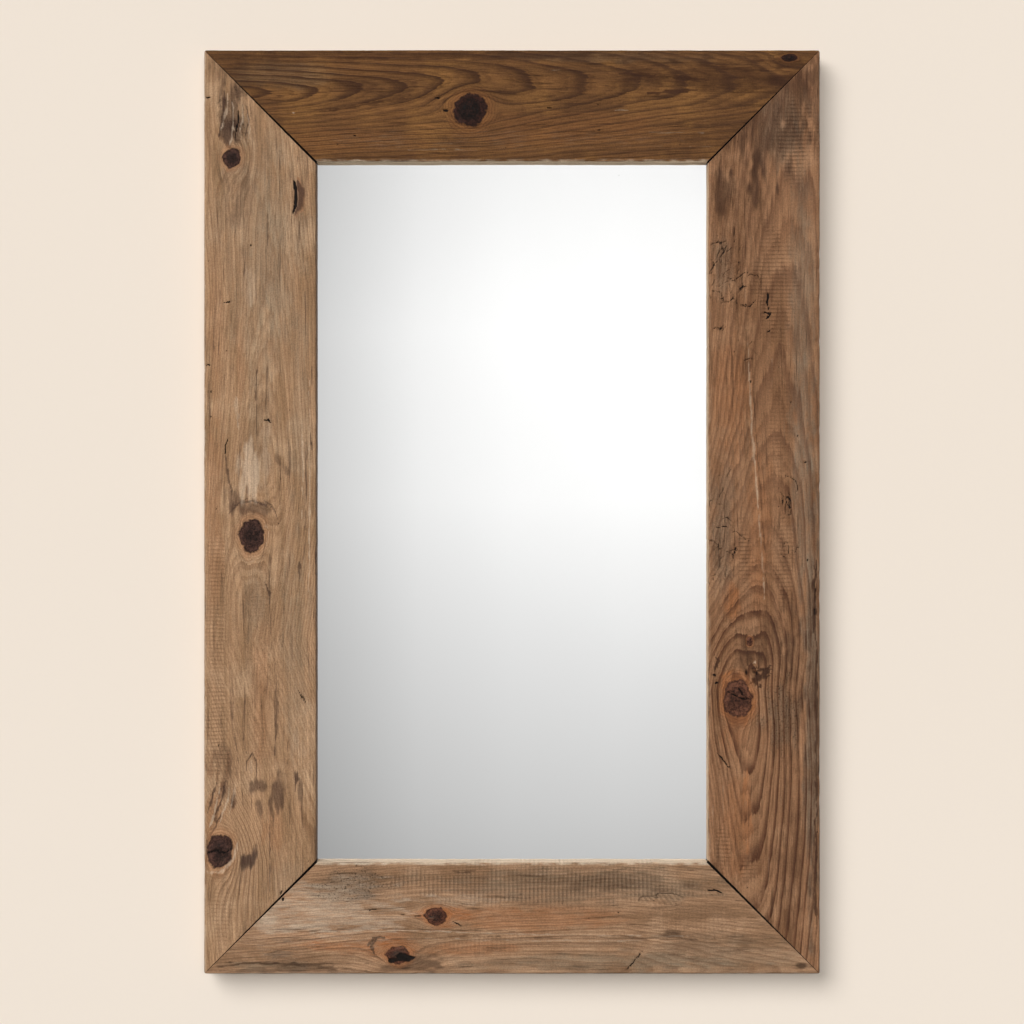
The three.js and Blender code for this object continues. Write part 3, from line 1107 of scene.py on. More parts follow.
    def build(self) -> bpy.types.Object:
        """Builds the board and stores its fields on its points.

        Returns:
            The board, which stands for its CAD node.
        """
        node, axis, outward = self.side.value
        points, normals = self.section()
        s = self.layout(points)
        w = np.broadcast_to(points[:, 0], s.shape)
        n = np.broadcast_to(points[:, 1], s.shape).copy()
        n[[0, -1]] = np.maximum(n[0], self.seam_depth)
        t = outward * (w - self.width / 2)
        timber, ring, bent = self.figure(s, t, n)
        self.weather(timber, w, n)
        down = self.sink(timber, ring, points)
        # The mitre's end rows are painted black, darkest at the inner corner: painted shade down the deep
        # mitre gap.
        ink = timber.layer[Mark.INK]
        ink[[0, -1]] = 1.0
        ink[[1, -2]] = np.maximum(ink[[1, -2]], 0.95 - 0.75 * points[:, 0] / self.width)
        w = w - normals[:, 0] * down
        n = np.maximum(n - normals[:, 1] * down, 0)
        s, w = self.round_corners(s, w)
        grid = np.zeros((*s.shape, 3))
        grid[..., axis] = self.middle + s
        grid[..., 2 - axis] = self.inner_edge + outward * w
        grid[..., 1] = self.front + n
        cloud, faces = loft(grid * MM)
        piece = put_mesh("old_" + node, cloud, faces, self.finish.dress())
        self.store(piece, timber, ring, bent)
        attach(piece, "frame")
        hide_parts(node)
        log.info("%s: %d faces", piece.name, len(faces))
        return piece

    def weather(self, timber: Timber, w: np.ndarray, n: np.ndarray) -> None:
        """Sets what belongs to a whole side.

        The rings show everywhere, the reveal has its own mark (pale wood, or painted shade where
        it faces away from the light), both arrises are rubbed pale with painted highlight added
        where they face the light, and the back and the outer side are rough-sawn and grey.

        Args:
            timber: The board's fields.
            w: Distance from the inner edge.
            n: Depth below the face.
        """
        layer = timber.layer
        layer[Mark.RINGS] = np.clip(layer[Mark.RINGS] + self.ring_base, 0, 1)
        # Reveal mark: pale wood on most sides, painted shade on a reveal that faces away from the light.
        reveal = (w < 0.6 * self.inner_arris) * ease(n, 0.3, 1.6)
        mark, strength = self.reveal
        layer[mark] = np.clip(layer[mark] + strength * reveal, 0, 1)
        # Arris paleness: rubbed wear, plus painted highlight where the arris faces the light.
        chips = 0.75 + 0.45 * drift(timber.s / 7, timber.t / 3, self.seed + 31, 3)
        inner = (1 - ease(w, 1.6, 4.6)) * (n < 2.6) * self.inner_arris_wear_and_highlight
        outer = ease(w, self.width - 3.4, self.width - 1.4) * (n < 2.8) * self.outer_arris_wear_and_highlight
        layer[Mark.PALE] = np.clip(layer[Mark.PALE] + (inner + outer) * chips, 0, 1)
        back = ease(n, self.thick - 1.5, self.thick - 0.2)
        rough = 0.45 + 0.3 * drift(timber.s / 60, timber.t / 40, self.seed + 41, 2)
        timber.saw = np.maximum(timber.saw, back * rough)
        layer[Mark.GREY] = np.maximum(layer[Mark.GREY], back * 0.35)
        side = (w > self.width - 0.6) * ease(n, 2.0, 6.0)
        timber.saw = np.maximum(timber.saw, side * 0.35)
        layer[Mark.GREY] = np.maximum(layer[Mark.GREY], side * 0.4)

    def round_corners(self, s: np.ndarray, w: np.ndarray) -> tuple[np.ndarray, np.ndarray]:
        """Pulls the frame's outer corners onto a quarter circle.

        Args:
            s: Distance along the board.
            w: Distance from the inner edge.

        Returns:
            The same, with no point further than the radius from the corner's centre.
        """
        ease_s = self.inner_half + self.width - self.corner
        ease_w = self.width - self.corner
        over_s = np.maximum(np.abs(s) - ease_s, 0)
        over_w = np.maximum(w - ease_w, 0)
        reach = np.hypot(over_s, over_w)
        back = np.where(reach > self.corner, self.corner / np.maximum(reach, 1e-6), 1.0)
        beyond = (over_s > 0) & (over_w > 0)
        s = np.where(beyond, np.sign(s) * (ease_s + over_s * back), s)
        return s, np.where(beyond, ease_w + over_w * back, w)

    def store(
        self, piece: bpy.types.Object, timber: Timber, ring: np.ndarray, bent: np.ndarray
    ) -> None:
        """Writes the fields that the finish reads onto the board's points.

        Args:
            piece: The board.
            timber: Its fields.
            ring: The ring numbers.
            bent: The bent distance across.
        """
        layer = timber.layer
        offset = self.seed * 37.0
        vectors = {
            "grain": np.stack([timber.s + offset, bent, timber.n], -1) * MM,
            # Dark in this vector also holds painted shade on a reveal turned from the light.
            "stain": np.stack([layer[Mark.DARK], layer[Mark.GREY], layer[Mark.WARM]], -1),
            # Ink in this vector also holds painted shade in the mitre gaps, and pale holds painted
            # highlight on the arrises.
            "wear": np.stack([layer[Mark.INK], layer[Mark.PALE], layer[Mark.TORN]], -1),
            "cut": np.stack([timber.saw, timber.saw_phase, layer[Mark.RINGS]], -1),
        }
        for name, value in vectors.items():
            data = piece.data.attributes.new(name, "FLOAT_VECTOR", "POINT").data
            data.foreach_set("vector", value.astype(np.float32).ravel())
        for name, value in {"ring": ring, "knot": timber.knot}.items():
            data = piece.data.attributes.new(name, "FLOAT", "POINT").data
            data.foreach_set("value", value.astype(np.float32).ravel())


# ---------------------------------------------------------------- the four boards' own figure


def top_board() -> Board:
    """The top rail: dark, with the rings in long points and one knot near the middle."""
    return Board(
        side=Side.TOP,
        finish=OldPine(
            "old_pine_top", "#77512f", "#5f4026", "#8a6035", "#3a2213", deep="#3a2214",
            grey="#74604a", warm="#855632", pale="#d2bda2", heart="#0c0706", heart_red="#3a1f17",
            ring_depth=0.9,
        ),
        rows=560,
        seed=11,
        pith=(
            (-305.9, 11.2, 3), (-210, 14.1, 12), (-69.5, 20.1, 27), (112.4, 23, 45),
            (304.3, 25, 62),
        ),
        ring_spacing=4.6,
        ring_base=0.55,
        gaps=(1.6, 1.1),
        knots=make(Knot,
            ((-40.8, -2.7), (16.5, 15.0), 1.3, (28, 20)),
            ((274.6, 47.8), (8.0, 3.5), 0.8, (20, 10)),
        ),
        marks=(
            Patch(Mark.DARK, (225.2, -4.6), (110, 54), 0.26),
            Patch(Mark.PALE, (-41.8, -34.3), (190, 12), 0.1),
            *lay(Patch, Mark.RINGS,
                ((-91.3, 25), (270, 24), 0.5), ((7.6, -36.3), (320, 26), -0.34),
            ),
            *lay(Patch, Mark.DARK,
                ((-91.3, 50.7), (260, 7), 0.4), ((-269.3, 30), (36, 22), 0.35),
                ((185.6, 27), (110, 16), 0.55), ((274.6, 42.8), (18, 10), 0.7),
                ((269.7, 26), (16, 9), 0.75), ((7.6, 48.8), (300, 5), 0.35),
                ((-113, -50.1), (80, 3), 0.45),
            ),
            *lay(Patch, Mark.WARM,
                ((47.2, -22.5), (100, 18), 0.4), ((-180.3, -34.3), (80, 14), 0.3),
            ),
            *lay(Patch, Mark.GREY,
                ((-229.7, 31), (60, 14), 0.35), ((86.7, 47.8), (120, 6), 0.3),
            ),
            *lay(Stroke, Mark.DARK,
                (((-245.6, 9.2), (-180.3, 14.1), (-69.5, 20.1)), 1.3, 0.8, 0.1),
                (((-192.2, -6.6), (-145.7, 1.3), (-97.2, 10.2)), 4.6, 0.6),
                (((-22.1, 14.1), (47.2, 17.1), (108.5, 21.1)), 1.2, 0.7, 0.1),
                (((104.5, 32.9), (142.1, 30)), 3.5, 0.75), (((154, 30), (193.5, 25)), 4.0, 0.8),
                (((133.2, 12.2), (185.6, 16.1)), 3.6, 0.8),
                (((185.6, 38.9), (254.9, 34.9)), 3.0, 0.6),
            ),
            *lay(Stroke, Mark.PALE,
                (((-106.1, -43.2), (-31.9, -43.2)), 1.5, 0.24),
                (((100.6, -3.7), (116.4, -3.7)), 1.6, 0.42),
                (((133.2, -26.4), (195.5, -26.4)), 1.4, 0.24),
                (((-217.9, -6.6), (-213.9, -6.6)), 2.0, 0.54),
            ),
            *lay(Stroke, Mark.INK,
                (((-68.5, -3.7), (-63.6, -4.6)), 1.7, 0.95),
                (((-76.4, 8.2), (-70.5, 8.2)), 1.6, 0.9), (((-155.6, -29.4),), 1.7, 0.9),
                (((-172.4, -38.3),), 1.6, 0.9), (((-125.9, 35.9),), 1.7, 0.8),
                (((-6.2, -41.2),), 1.7, 0.8), (((165.9, -38.3),), 1.6, 0.8),
                (((35.3, -1.7), (40.3, -1.7)), 1.4, 0.8),
                (((84.8, -23.4), (88.7, -24.4)), 1.4, 0.8),
            ),
        ),
        saws=(
            SawBand((230.1, 10.2), (40, 16), 0.22),
        ),
        nicks=make(Nick,
            (-210, 1, 5.0, 0.8), (7.6, 1, 8.0, 0.7), (185.6, 1, 4.0, 0.9), (27.4, 0, 6.0, 0.6),
        ),
        pits=22,
        reveal=(Mark.PALE, 0.95),
        inner_arris_wear_and_highlight=0.45,
        outer_arris_wear_and_highlight=0.0,
    )


def left_board() -> Board:
    """The left stile: tan and grey, three knots, torn slivers high up, dark blots low down."""
    return Board(
        side=Side.LEFT,
        finish=OldPine(
            "old_pine_left", "#b18b69", "#997757", "#c3a07e", "#765439", deep="#49342a",
            grey="#8f7d67", warm="#ab7853", pale="#cdb398", heart="#2b1c18", heart_red="#573a30",
        ),
        rows=712,
        seed=23,
        pith=(
            (-458.4, 69, 26), (-344.7, 57.2, 14), (-127.1, -15, 22), (31.2, 1.8, 12),
            (209.2, 7.7, 30), (456.4, -10.1, 40),
        ),
        ring_spacing=5.4,
        ring_base=0.3,
        gaps=(1.7, 1.6),
        knots=make(Knot,
            ((350.6, -27.9), (9.6, 9.0), 2.2, (26, 20)),
            ((-23.2, -8.1), (16.0, 12.6), 3.4, (36, 24)),
            ((-335.8, -39.8), (17.0, 13.0), 3.6, (38, 30), 0.1),
        ),
        marks=(
            Patch(Mark.GREY, (258.6, 1.8), (130, 48), 0.34),
            Patch(Mark.DARK, (278.4, 5.7), (90, 40), 0.14),
            Patch(Mark.PALE, (-384.2, 1.8), (70, 44), 0.14),
            *lay(Patch, Mark.RINGS,
                ((-28.2, 1.8), (44, 34), 0.5), ((-349.6, -20), (50, 44), 0.55),
                ((-290.3, 43.3), (34, 14), 0.5), ((357.5, -20), (34, 26), 0.4),
            ),
            *lay(Patch, Mark.DARK,
                ((436.6, -0.2), (28, 50), 0.45), ((318, -22), (60, 16), 0.35),
                ((318, 39.4), (60, 10), 0.3),
            ),
            *lay(Patch, Mark.GREY,
                ((258.6, 9.7), (90, 18), 0.45), ((90.5, 39.4), (110, 12), 0.4),
                ((80.6, 1.8), (60, 16), 0.35), ((-137, 35.4), (110, 14), 0.45),
                ((-87.5, -5.1), (34, 14), 0.4),
            ),
            *lay(Patch, Mark.WARM,
                ((179.5, -43.7), (90, 10), 0.35), ((-8.4, -45.7), (110, 10), 0.45),
                ((-176.5, 1.8), (70, 10), 0.4), ((-317, 14.6), (26, 10), 0.55),
                ((149.8, -20), (50, 6), 0.4),
            ),
            *lay(Patch, Mark.PALE,
                ((39.1, -10.1), (36, 12), 0.62), ((46, 5.7), (40, 6), 0.35),
                ((221, -10.1), (26, 8), 0.35), ((-230.9, 39.4), (24, 10), 0.3),
                ((-0.5, -5.1), (7, 16), -0.2),
            ),
            *lay(Patch, Mark.DARK,
                ((3.5, -8.1), (9, 22), 0.6), ((13.4, -25.9), (10, 5), 0.6, 0.0, 0.6),
                ((49, 19.6), (15, 4), 0.5, -35, 0.7), ((-270.5, -3.2), (11, 11), 0.62, 30, 0.5),
                ((-278.4, 18.6), (20, 8), 0.72, 10, 0.5),
                ((-293.2, -0.2), (14, 5), 0.62, -10, 0.5),
                ((-279.4, -35.8), (16, 11), 0.45, 0.0, 0.7),
                ((-344.7, -11.1), (9, 7), 0.75, 30, 0.5),
            ),
            Patch(Mark.GREY, (-374.3, 29.5), (30, 14), 0.4),
            *lay(Patch, Mark.TORN,
                ((395.1, -25.9), (36, 15), 0.7), ((-275.4, -37.8), (34, 16), 0.4),
                ((-127.1, 1.8), (90, 26), 0.3),
            ),
            *lay(Patch, Mark.DARK,
                ((373.3, -30.9), (16, 8), 0.85), ((399.1, -27.9), (30, 12), 0.6),
            ),
            Stroke(Mark.DARK, ((418.8, -34.8), (395.1, -35.8), (369.4, -40.7)), 2.0, 0.9),
            Stroke(Mark.INK, ((403, -22), (385.2, -22), (369.4, -24.9)), 1.5, 0.75),
            *lay(Stroke, Mark.PALE,
                (((414.9, -30.9), (395.1, -33.8), (375.3, -38.8)), 2.6, 0.6),
                (((409, -26.9), (385.2, -25.9), (360.5, -29.9)), 2.4, 0.7),
                (((407, -18), (389.2, -17), (371.4, -21)), 2.0, 0.6),
                (((395.1, -13.1), (379.3, -10.1), (365.4, -13.1)), 2.0, 0.5),
            ),
            Stroke(Mark.DARK, ((403, -14), (387.2, -11.1), (371.4, -15)), 2.0, 0.7),
            Stroke(
                Mark.WARM, ((331.8, 37.4), (316, 41.3), (302.1, 40.4), (292.2, 34.4)), 7.0, 0.9,
                0.15,
            ),
            Stroke(
                Mark.DARK, ((329.8, 36.4), (318, 40.4), (303.1, 39.4), (294.2, 34.4)), 6.0, 0.8,
                0.15,
            ),
            Stroke(
                Mark.INK, ((329.8, 33.4), (318, 35.4), (304.1, 35.4), (294.2, 31.5)), 3.0, 1.0,
                0.15,
            ),
            Stroke(
                Mark.WARM, ((327.9, 38.4), (316, 41.3), (302.1, 39.4), (294.2, 35.4)), 3.4, 1.0,
                0.15,
            ),
            *lay(Stroke, Mark.INK,
                (((409.9, -54.6), (409.9, -46.7)), 1.3, 0.9),
                (((207.2, -35.8), (208.2, -27.9)), 1.3, 0.9), (((263.6, -9.1),), 1.8, 0.9),
                (((247.7, -50.6),), 1.8, 0.9), (((159.7, -32.8),), 1.6, 0.8),
                (((144.9, -54.6), (145.9, -48.7)), 1.3, 0.9), (((119.2, -48.7),), 1.6, 0.9),
                (((94.4, -48.7),), 1.6, 0.9),
                (((90.5, 3.8), (91.5, 7.7), (87.5, 10.7)), 1.7, 0.8),
                (((71.7, -31.8), (65.8, -34.8), (55.9, -33.8)), 1.5, 0.75),
            ),
            *lay(Stroke, Mark.DARK,
                (((55.9, -33.8), (33.1, -31.8), (19.3, -27.9)), 2.4, 0.75),
                (((159.7, -2.2), (110.3, -4.2), (70.7, -3.2)), 1.6, 0.7),
                (((78.6, 50.2), (60.8, 51.2)), 1.6, 0.9),
                (((148.8, 50.2), (116.2, 52.2)), 1.4, 0.8),
                (((80.6, 44.3), (11.4, 45.3), (-48, 43.3)), 1.8, 0.6),
            ),
            *lay(Stroke, Mark.PALE,
                (((80.6, 41.3), (31.2, 42.3), (-8.4, 41.3)), 1.8, 0.6),
                (((130.1, 48.3), (41, 49.3), (-87.5, 48.3)), 1.8, 0.5),
                (((115.2, -23.9), (80.6, -21)), 4.0, 0.45),
            ),
            *lay(Stroke, Mark.DARK,
                (((-49, 39.4), (-67.7, 38.4)), 2.6, 0.75),
                (((-68.7, 3.8), (-79.6, 8.7), (-91.5, 9.7)), 1.8, 0.8),
                (((-33.1, 9.7), (-87.5, 9.7), (-137, 11.7)), 1.4, 0.6),
                (((6.4, -27.9), (11.4, -8.1), (4.5, 11.7)), 2.0, 0.8),
                (((-3.5, -31.8), (8.4, -22), (14.3, -10.1)), 1.6, 0.7),
                (((14.3, 1.8), (6.4, 11.7), (-9.4, 18.6)), 1.6, 0.7),
            ),
            *lay(Stroke, Mark.PALE,
                (((-43, -25.9), (-49.9, -12.1), (-44, 3.8)), 1.5, 0.4),
                (((-8.4, 3.8), (-20.3, 8.7), (-36.1, 5.7)), 1.6, 0.4),
            ),
            *lay(Stroke, Mark.DARK,
                (((-146.9, 15.6), (-196.3, 16.6), (-249.7, 13.6)), 2.6, 0.6),
                (((-146.9, -30.9), (-206.2, -27.9), (-255.7, -20)), 1.8, 0.55),
                (((-176.5, -14), (-216.1, -17), (-241.8, -13.1)), 1.6, 0.55),
            ),
            Stroke(Mark.INK, ((-175.5, 37.4), (-182.5, 41.3), (-189.4, 45.3)), 1.3, 0.85),
            *lay(Stroke, Mark.DARK,
                (((-261.6, 34.4), (-277.4, 34.4)), 1.8, 0.85),
                (((-260.6, -14), (-247.7, -14), (-238.8, -8.1), (-247.7, -3.2), (-263.6, -4.2)), 1.5, 0.8),
            ),
            Stroke(Mark.PALE, ((-243.8, -9.1), (-261.6, -9.1)), 5.0, 0.35),
            *lay(Stroke, Mark.DARK,
                (((-297.2, -51.6), (-282.4, -46.7), (-265.5, -42.7)), 2.6, 0.8),
                (((-301.2, -45.7), (-285.3, -37.8), (-265.5, -33.8)), 2.6, 0.8),
                (((-322.9, -50.6), (-311, -43.7), (-297.2, -37.8)), 2.0, 0.8),
            ),
            *lay(Stroke, Mark.PALE,
                (((-313, -49.6), (-291.3, -43.7), (-271.5, -39.8)), 2.4, 0.6),
                (((-307.1, -39.8), (-285.3, -31.8), (-267.5, -30.9)), 2.4, 0.6),
                (((-300.2, -29.9), (-281.4, -25.9), (-269.5, -24.9)), 2.2, 0.5),
                (((-356.5, -52.6), (-356.5, -37.8), (-342.7, -25.9), (-324.9, -22)), 3.0, 0.5),
            ),
            Stroke(
                Mark.INK, ((-337.7, -52.6), (-334.8, -43.7), (-337.7, -35.8), (-332.8, -27.9)),
                1.3, 1.0, 0.3,
            ),
            *lay(Patch, Mark.DARK,
                ((-344.7, -10.1), (6, 6), 0.75, 0.0, 0.6),
                ((-334.8, -4.2), (10, 3), 0.5, 0.0, 0.6), ((-259.6, 36.4), (7, 4), 0.9, 0.0, 0.8),
                ((-271.5, 40.4), (14, 2.5), 0.6, 0.0, 0.7),
                ((-257.6, -37.8), (34, 15), 0.42, 0.0, 0.8),
            ),
            Patch(Mark.WARM, (-285.3, -41.7), (40, 14), 0.5, 0.0, 0.7),
            Patch(Mark.DARK, (-260.6, -10.1), (30, 20), 0.14, 0.0, 0.7),
            *lay(Stroke, Mark.DARK,
                (((-352.6, -53.6), (-324.9, -52.6), (-319, -45.7)), 2.0, 0.8),
                (((-307.1, 9.7), (-344.7, 9.7), (-384.2, 9.7)), 1.3, 0.75),
            ),
            *lay(Stroke, Mark.INK,
                (((-377.3, 19.6), (-375.3, 22.5)), 2.6, 0.8), (((-230.9, -40.7),), 1.7, 0.7),
            ),
            Stroke(Mark.WARM, ((-300.2, 3.8), (-329.8, 2.8)), 7.0, 0.5),
        ),
        saws=make(SawBand,
            ((-97.4, -43.7), (80, 12), 0.55), ((-226, -42.7), (70, 13), 0.65),
            ((-399.1, -37.8), (36, 14), 0.45), ((-87.5, 1.8), (36, 10), 0.35),
            ((-221, 1.8), (30, 10), 0.3),
        ),
        nicks=make(Nick,
            (409.9, 1, 3.0, 0.9), (143.9, 1, 4.0, 0.9), (74.7, 1, 9.0, 0.8),
            (-186.4, 1, 12.0, 0.6), (-352.6, 1, 6.0, 1.4),
        ),
        pits=30,
        warp=1.5,
        # Dark reveal and no pale inner arris: painted shade on the side turned from the light; the pale
        # outer arris is partly painted highlight.
        reveal=(Mark.DARK, 0.75),
        inner_arris_wear_and_highlight=0.0,
        outer_arris_wear_and_highlight=0.45,
    )


def right_board() -> Board:
    """The right stile: reddish, greyer outside, beetle tracks, and one big knot low down."""
    return Board(
        side=Side.RIGHT,
        finish=OldPine(
            "old_pine_right", "#976e4f", "#7f5a3e", "#a9805f", "#52311f", deep="#3c261a",
            grey="#7f6d5a", warm="#a3683f", pale="#c0a488", heart="#43281e", heart_red="#744935",
            ring_depth=0.95,
        ),
        rows=712,
        seed=37,
        pith=(
            (-458.4, -16.2, 40), (-344.7, -16.2, 24), (-250.7, -18.2, 10), (-216.1, -20.2, 4),
            (-176.5, -22.2, 3), (-146.9, -18.2, 10), (-96.4, -10.3, 31), (-48, -2.4, 46),
            (90.5, 13.5, 66), (456.4, 35.2, 90),
        ),
        ring_spacing=6.4,
        ring_base=0.34,
        gaps=(1.9, 1.1),
        knots=make(Knot,
            ((-184.4, -26.1), (19.0, 14.5), 1.2, (30, 24)),
            ((-128.1, -14.2), (4.6, 3.2), 0.9, (24, 12)),
        ),
        marks=(
            Patch(Mark.GREY, (-176.5, 47.1), (260, 8), 0.75),
            *lay(Patch, Mark.DARK,
                ((-186.4, 48.1), (250, 6), 0.42), ((-176.5, 0.6), (90, 56), 0.13),
                ((-354.6, 15.4), (110, 40), 0.16),
            ),
            Patch(Mark.PALE, (31.2, -29.1), (90, 20), 0.16),
            *lay(Patch, Mark.RINGS,
                ((-176.5, -9.3), (100, 60), 0.75), ((-344.7, 20.4), (130, 34), 0.9),
                ((-48, 30.3), (120, 18), 0.3),
            ),
            *lay(Patch, Mark.DARK,
                ((407, 5.5), (75, 60), 0.62), ((320.9, -40), (34, 13), 0.62),
                ((278.4, -19.2), (70, 40), 0.3), ((327.9, -8.3), (28, 5), 0.65),
                ((-146.9, 33.2), (70, 14), 0.35), ((-127.1, 3.6), (34, 26), 0.4),
                ((-364.4, 25.3), (80, 18), 0.3),
            ),
            *lay(Patch, Mark.GREY,
                ((209.2, 38.2), (180, 12), 0.55), ((11.4, 38.2), (120, 12), 0.6),
                ((372.4, 15.4), (44, 22), 0.45), ((240.8, -41.9), (40, 10), 0.4),
                ((-18.3, -41.9), (70, 12), 0.45), ((-201.3, 18.4), (32, 20), 0.45),
            ),
            *lay(Patch, Mark.WARM,
                ((110.3, -34), (60, 18), 0.35), ((-85.5, -33), (17, 9), 0.75),
                ((-8.4, -4.4), (90, 12), 0.35), ((-216.1, -29.1), (24, 14), 0.45),
                ((-305.1, -28.1), (60, 14), 0.35),
            ),
            *lay(Patch, Mark.TORN,
                ((-198.3, 18.4), (42, 21), 0.9), ((238.8, -40), (40, 14), 0.35),
                ((-28.2, -43.9), (70, 12), 0.35),
            ),
            *lay(Stroke, Mark.INK,
                (((218.1, 3.6), (200.3, 4.5)), 1.8, 0.95),
                (((197.3, -0.4), (196.3, 6.5), (190.4, 1.6)), 2.2, 0.9),
                (((178.5, 4.5),), 2.6, 1.0), (((108.3, 27.3),), 2.2, 0.95),
                (((99.4, 33.2),), 2.0, 0.95), (((75.7, 33.2),), 2.0, 0.95),
                (((49, 41.1),), 2.0, 0.95), (((-47, 43.1),), 2.0, 0.95),
                (((129.1, -13.3),), 1.8, 0.8), (((-160.7, -49.8), (-162.7, -46.9)), 1.8, 0.9),
                (((-169.6, -47.9), (-168.6, -44.9)), 1.8, 0.9),
            ),
            Stroke(
                Mark.PALE, ((169.6, -16.2), (90.5, -12.3), (-8.4, -4.4), (-90.5, 0.6)), 2.2, 0.55,
            ),
            Stroke(
                Mark.DARK, ((164.7, -13.3), (80.6, -8.3), (-18.3, -0.4), (-90.5, 3.6)), 1.8, 0.6,
            ),
            Stroke(Mark.PALE, ((-148.8, -9.3),), 2.6, 0.9),
            Stroke(Mark.DARK, ((-154.8, 9.5), (-159.7, -0.4), (-170.6, -12.3)), 6.0, 0.9),
            *lay(Stroke, Mark.INK,
                (((-177.5, -36), (-184.4, -24.1), (-185.4, -13.3)), 1.1, 1.0, 0.3),
                (((-172.6, -26.1), (-178.5, -22.2), (-185.4, -20.2)), 1.2, 1.0, 0.3),
            ),
            Patch(Mark.DARK, (-161.7, -7.3), (8, 8), 1.0, 0.0, 0.9),
            Patch(Mark.INK, (-158.7, -9.3), (7, 6), 0.8, 0.0, 0.9),
            *lay(Stroke, Mark.DARK,
                (((-154.8, -12.3), (-156.8, -0.4), (-150.8, 9.5)), 3.0, 0.9, 0.5),
                (((-160.7, -8.3), (-164.7, 1.6), (-160.7, 7.5)), 2.6, 0.8, 0.5),
                (((-162.7, -12.3), (-170.6, -6.3), (-174.6, -1.4)), 2.6, 0.9, 0.5),
            ),
            Patch(Mark.DARK, (-146.9, -19.2), (16, 14), 0.4, 0.0, 0.6),
            Patch(Mark.WARM, (-184.4, -26.1), (26, 19), 0.75, 0.0, 0.2),
            *lay(Stroke, Mark.WARM,
                (((-198.3, -38), (-205.2, -28.1), (-202.3, -16.2)), 3.6, 0.95),
                (((-176.5, -41.9), (-162.7, -40), (-154.8, -28.1)), 3.4, 0.9),
                (((-198.3, -12.3), (-186.4, -7.3)), 3.0, 0.8),
                (((-250.7, -18.2), (-285.3, -16.2), (-339.7, -15.2)), 7.0, 0.6),
            ),
            Stroke(Mark.INK, ((-237.9, -45.9), (-251.7, -36), (-253.7, -31.1)), 1.4, 0.7),
            *lay(Stroke, Mark.DARK,
                (((-140.9, -49.8), (-146.9, -44.9), (-158.7, -49.8)), 2.6, 0.8),
                (((-154.8, -55.8), (-176.5, -55.8), (-202.3, -54.8)), 3.6, 0.85),
                (((-48, 51), (-77.6, 50), (-127.1, 50)), 4.2, 0.85),
                (((-127.1, 52), (-206.2, 52), (-285.3, 52)), 2.6, 0.8),
                (((-285.3, 52), (-344.7, 51), (-413.9, 52)), 3.0, 0.8),
            ),
            Stroke(Mark.INK, ((-59.8, 48.1), (-77.6, 51), (-105.3, 50)), 1.2, 0.6),
            Patch(Mark.DARK, (-384.2, -48.9), (46, 7), 0.7),
            *make(Tracks,
                ((242.8, -39), (34, 17), 24), ((209.2, -22.2), (26, 12), 10),
                ((175.5, -47.9), (30, 8), 7), ((165.7, -19.2), (20, 7), 5),
                ((-26.2, -42.9), (72, 13), 22), ((14.3, 25.3), (27, 8), 9),
                ((-38.1, 24.3), (12, 11), 6),
            ),
        ),
        saws=make(SawBand,
            ((367.4, 32.2), (42, 20), 0.95, 3.9), ((227, 10.5), (58, 22), 0.75, 3.9),
            ((-41, -19.2), (38, 8), 0.7, 3.95), ((-47, 21.4), (44, 13), 0.7, 3.95),
            ((-331.8, -39), (24, 9), 0.8, 3.9), ((-354.6, -16.2), (14, 8), 0.7, 3.9),
            ((80.6, 15.4), (60, 14), 0.4, 3.9),
        ),
        nicks=make(Nick,
            (255.7, 1, 3.5, 1.8), (239.8, 1, 2.5, 1.4), (209.2, 1, 4.0, 1.8),
            (168.6, 1, 3.0, 1.8), (81.6, 1, 3.0, 1.6), (24.2, 1, 3.5, 1.9), (-61.8, 1, 3.0, 1.3),
            (-84.6, 1, 4.0, 1.6), (-103.4, 1, 3.0, 1.5), (-237.9, 1, 5.0, 1.4),
            (-261.6, 1, 3.0, 1.8), (-285.3, 1, 4.0, 1.4), (-389.2, 1, 6.0, 1.0),
        ),
        pits=30,
        warp=1.6,
        reveal=(Mark.PALE, 0.95),
        inner_arris_wear_and_highlight=0.35,
        outer_arris_wear_and_highlight=0.25,
    )


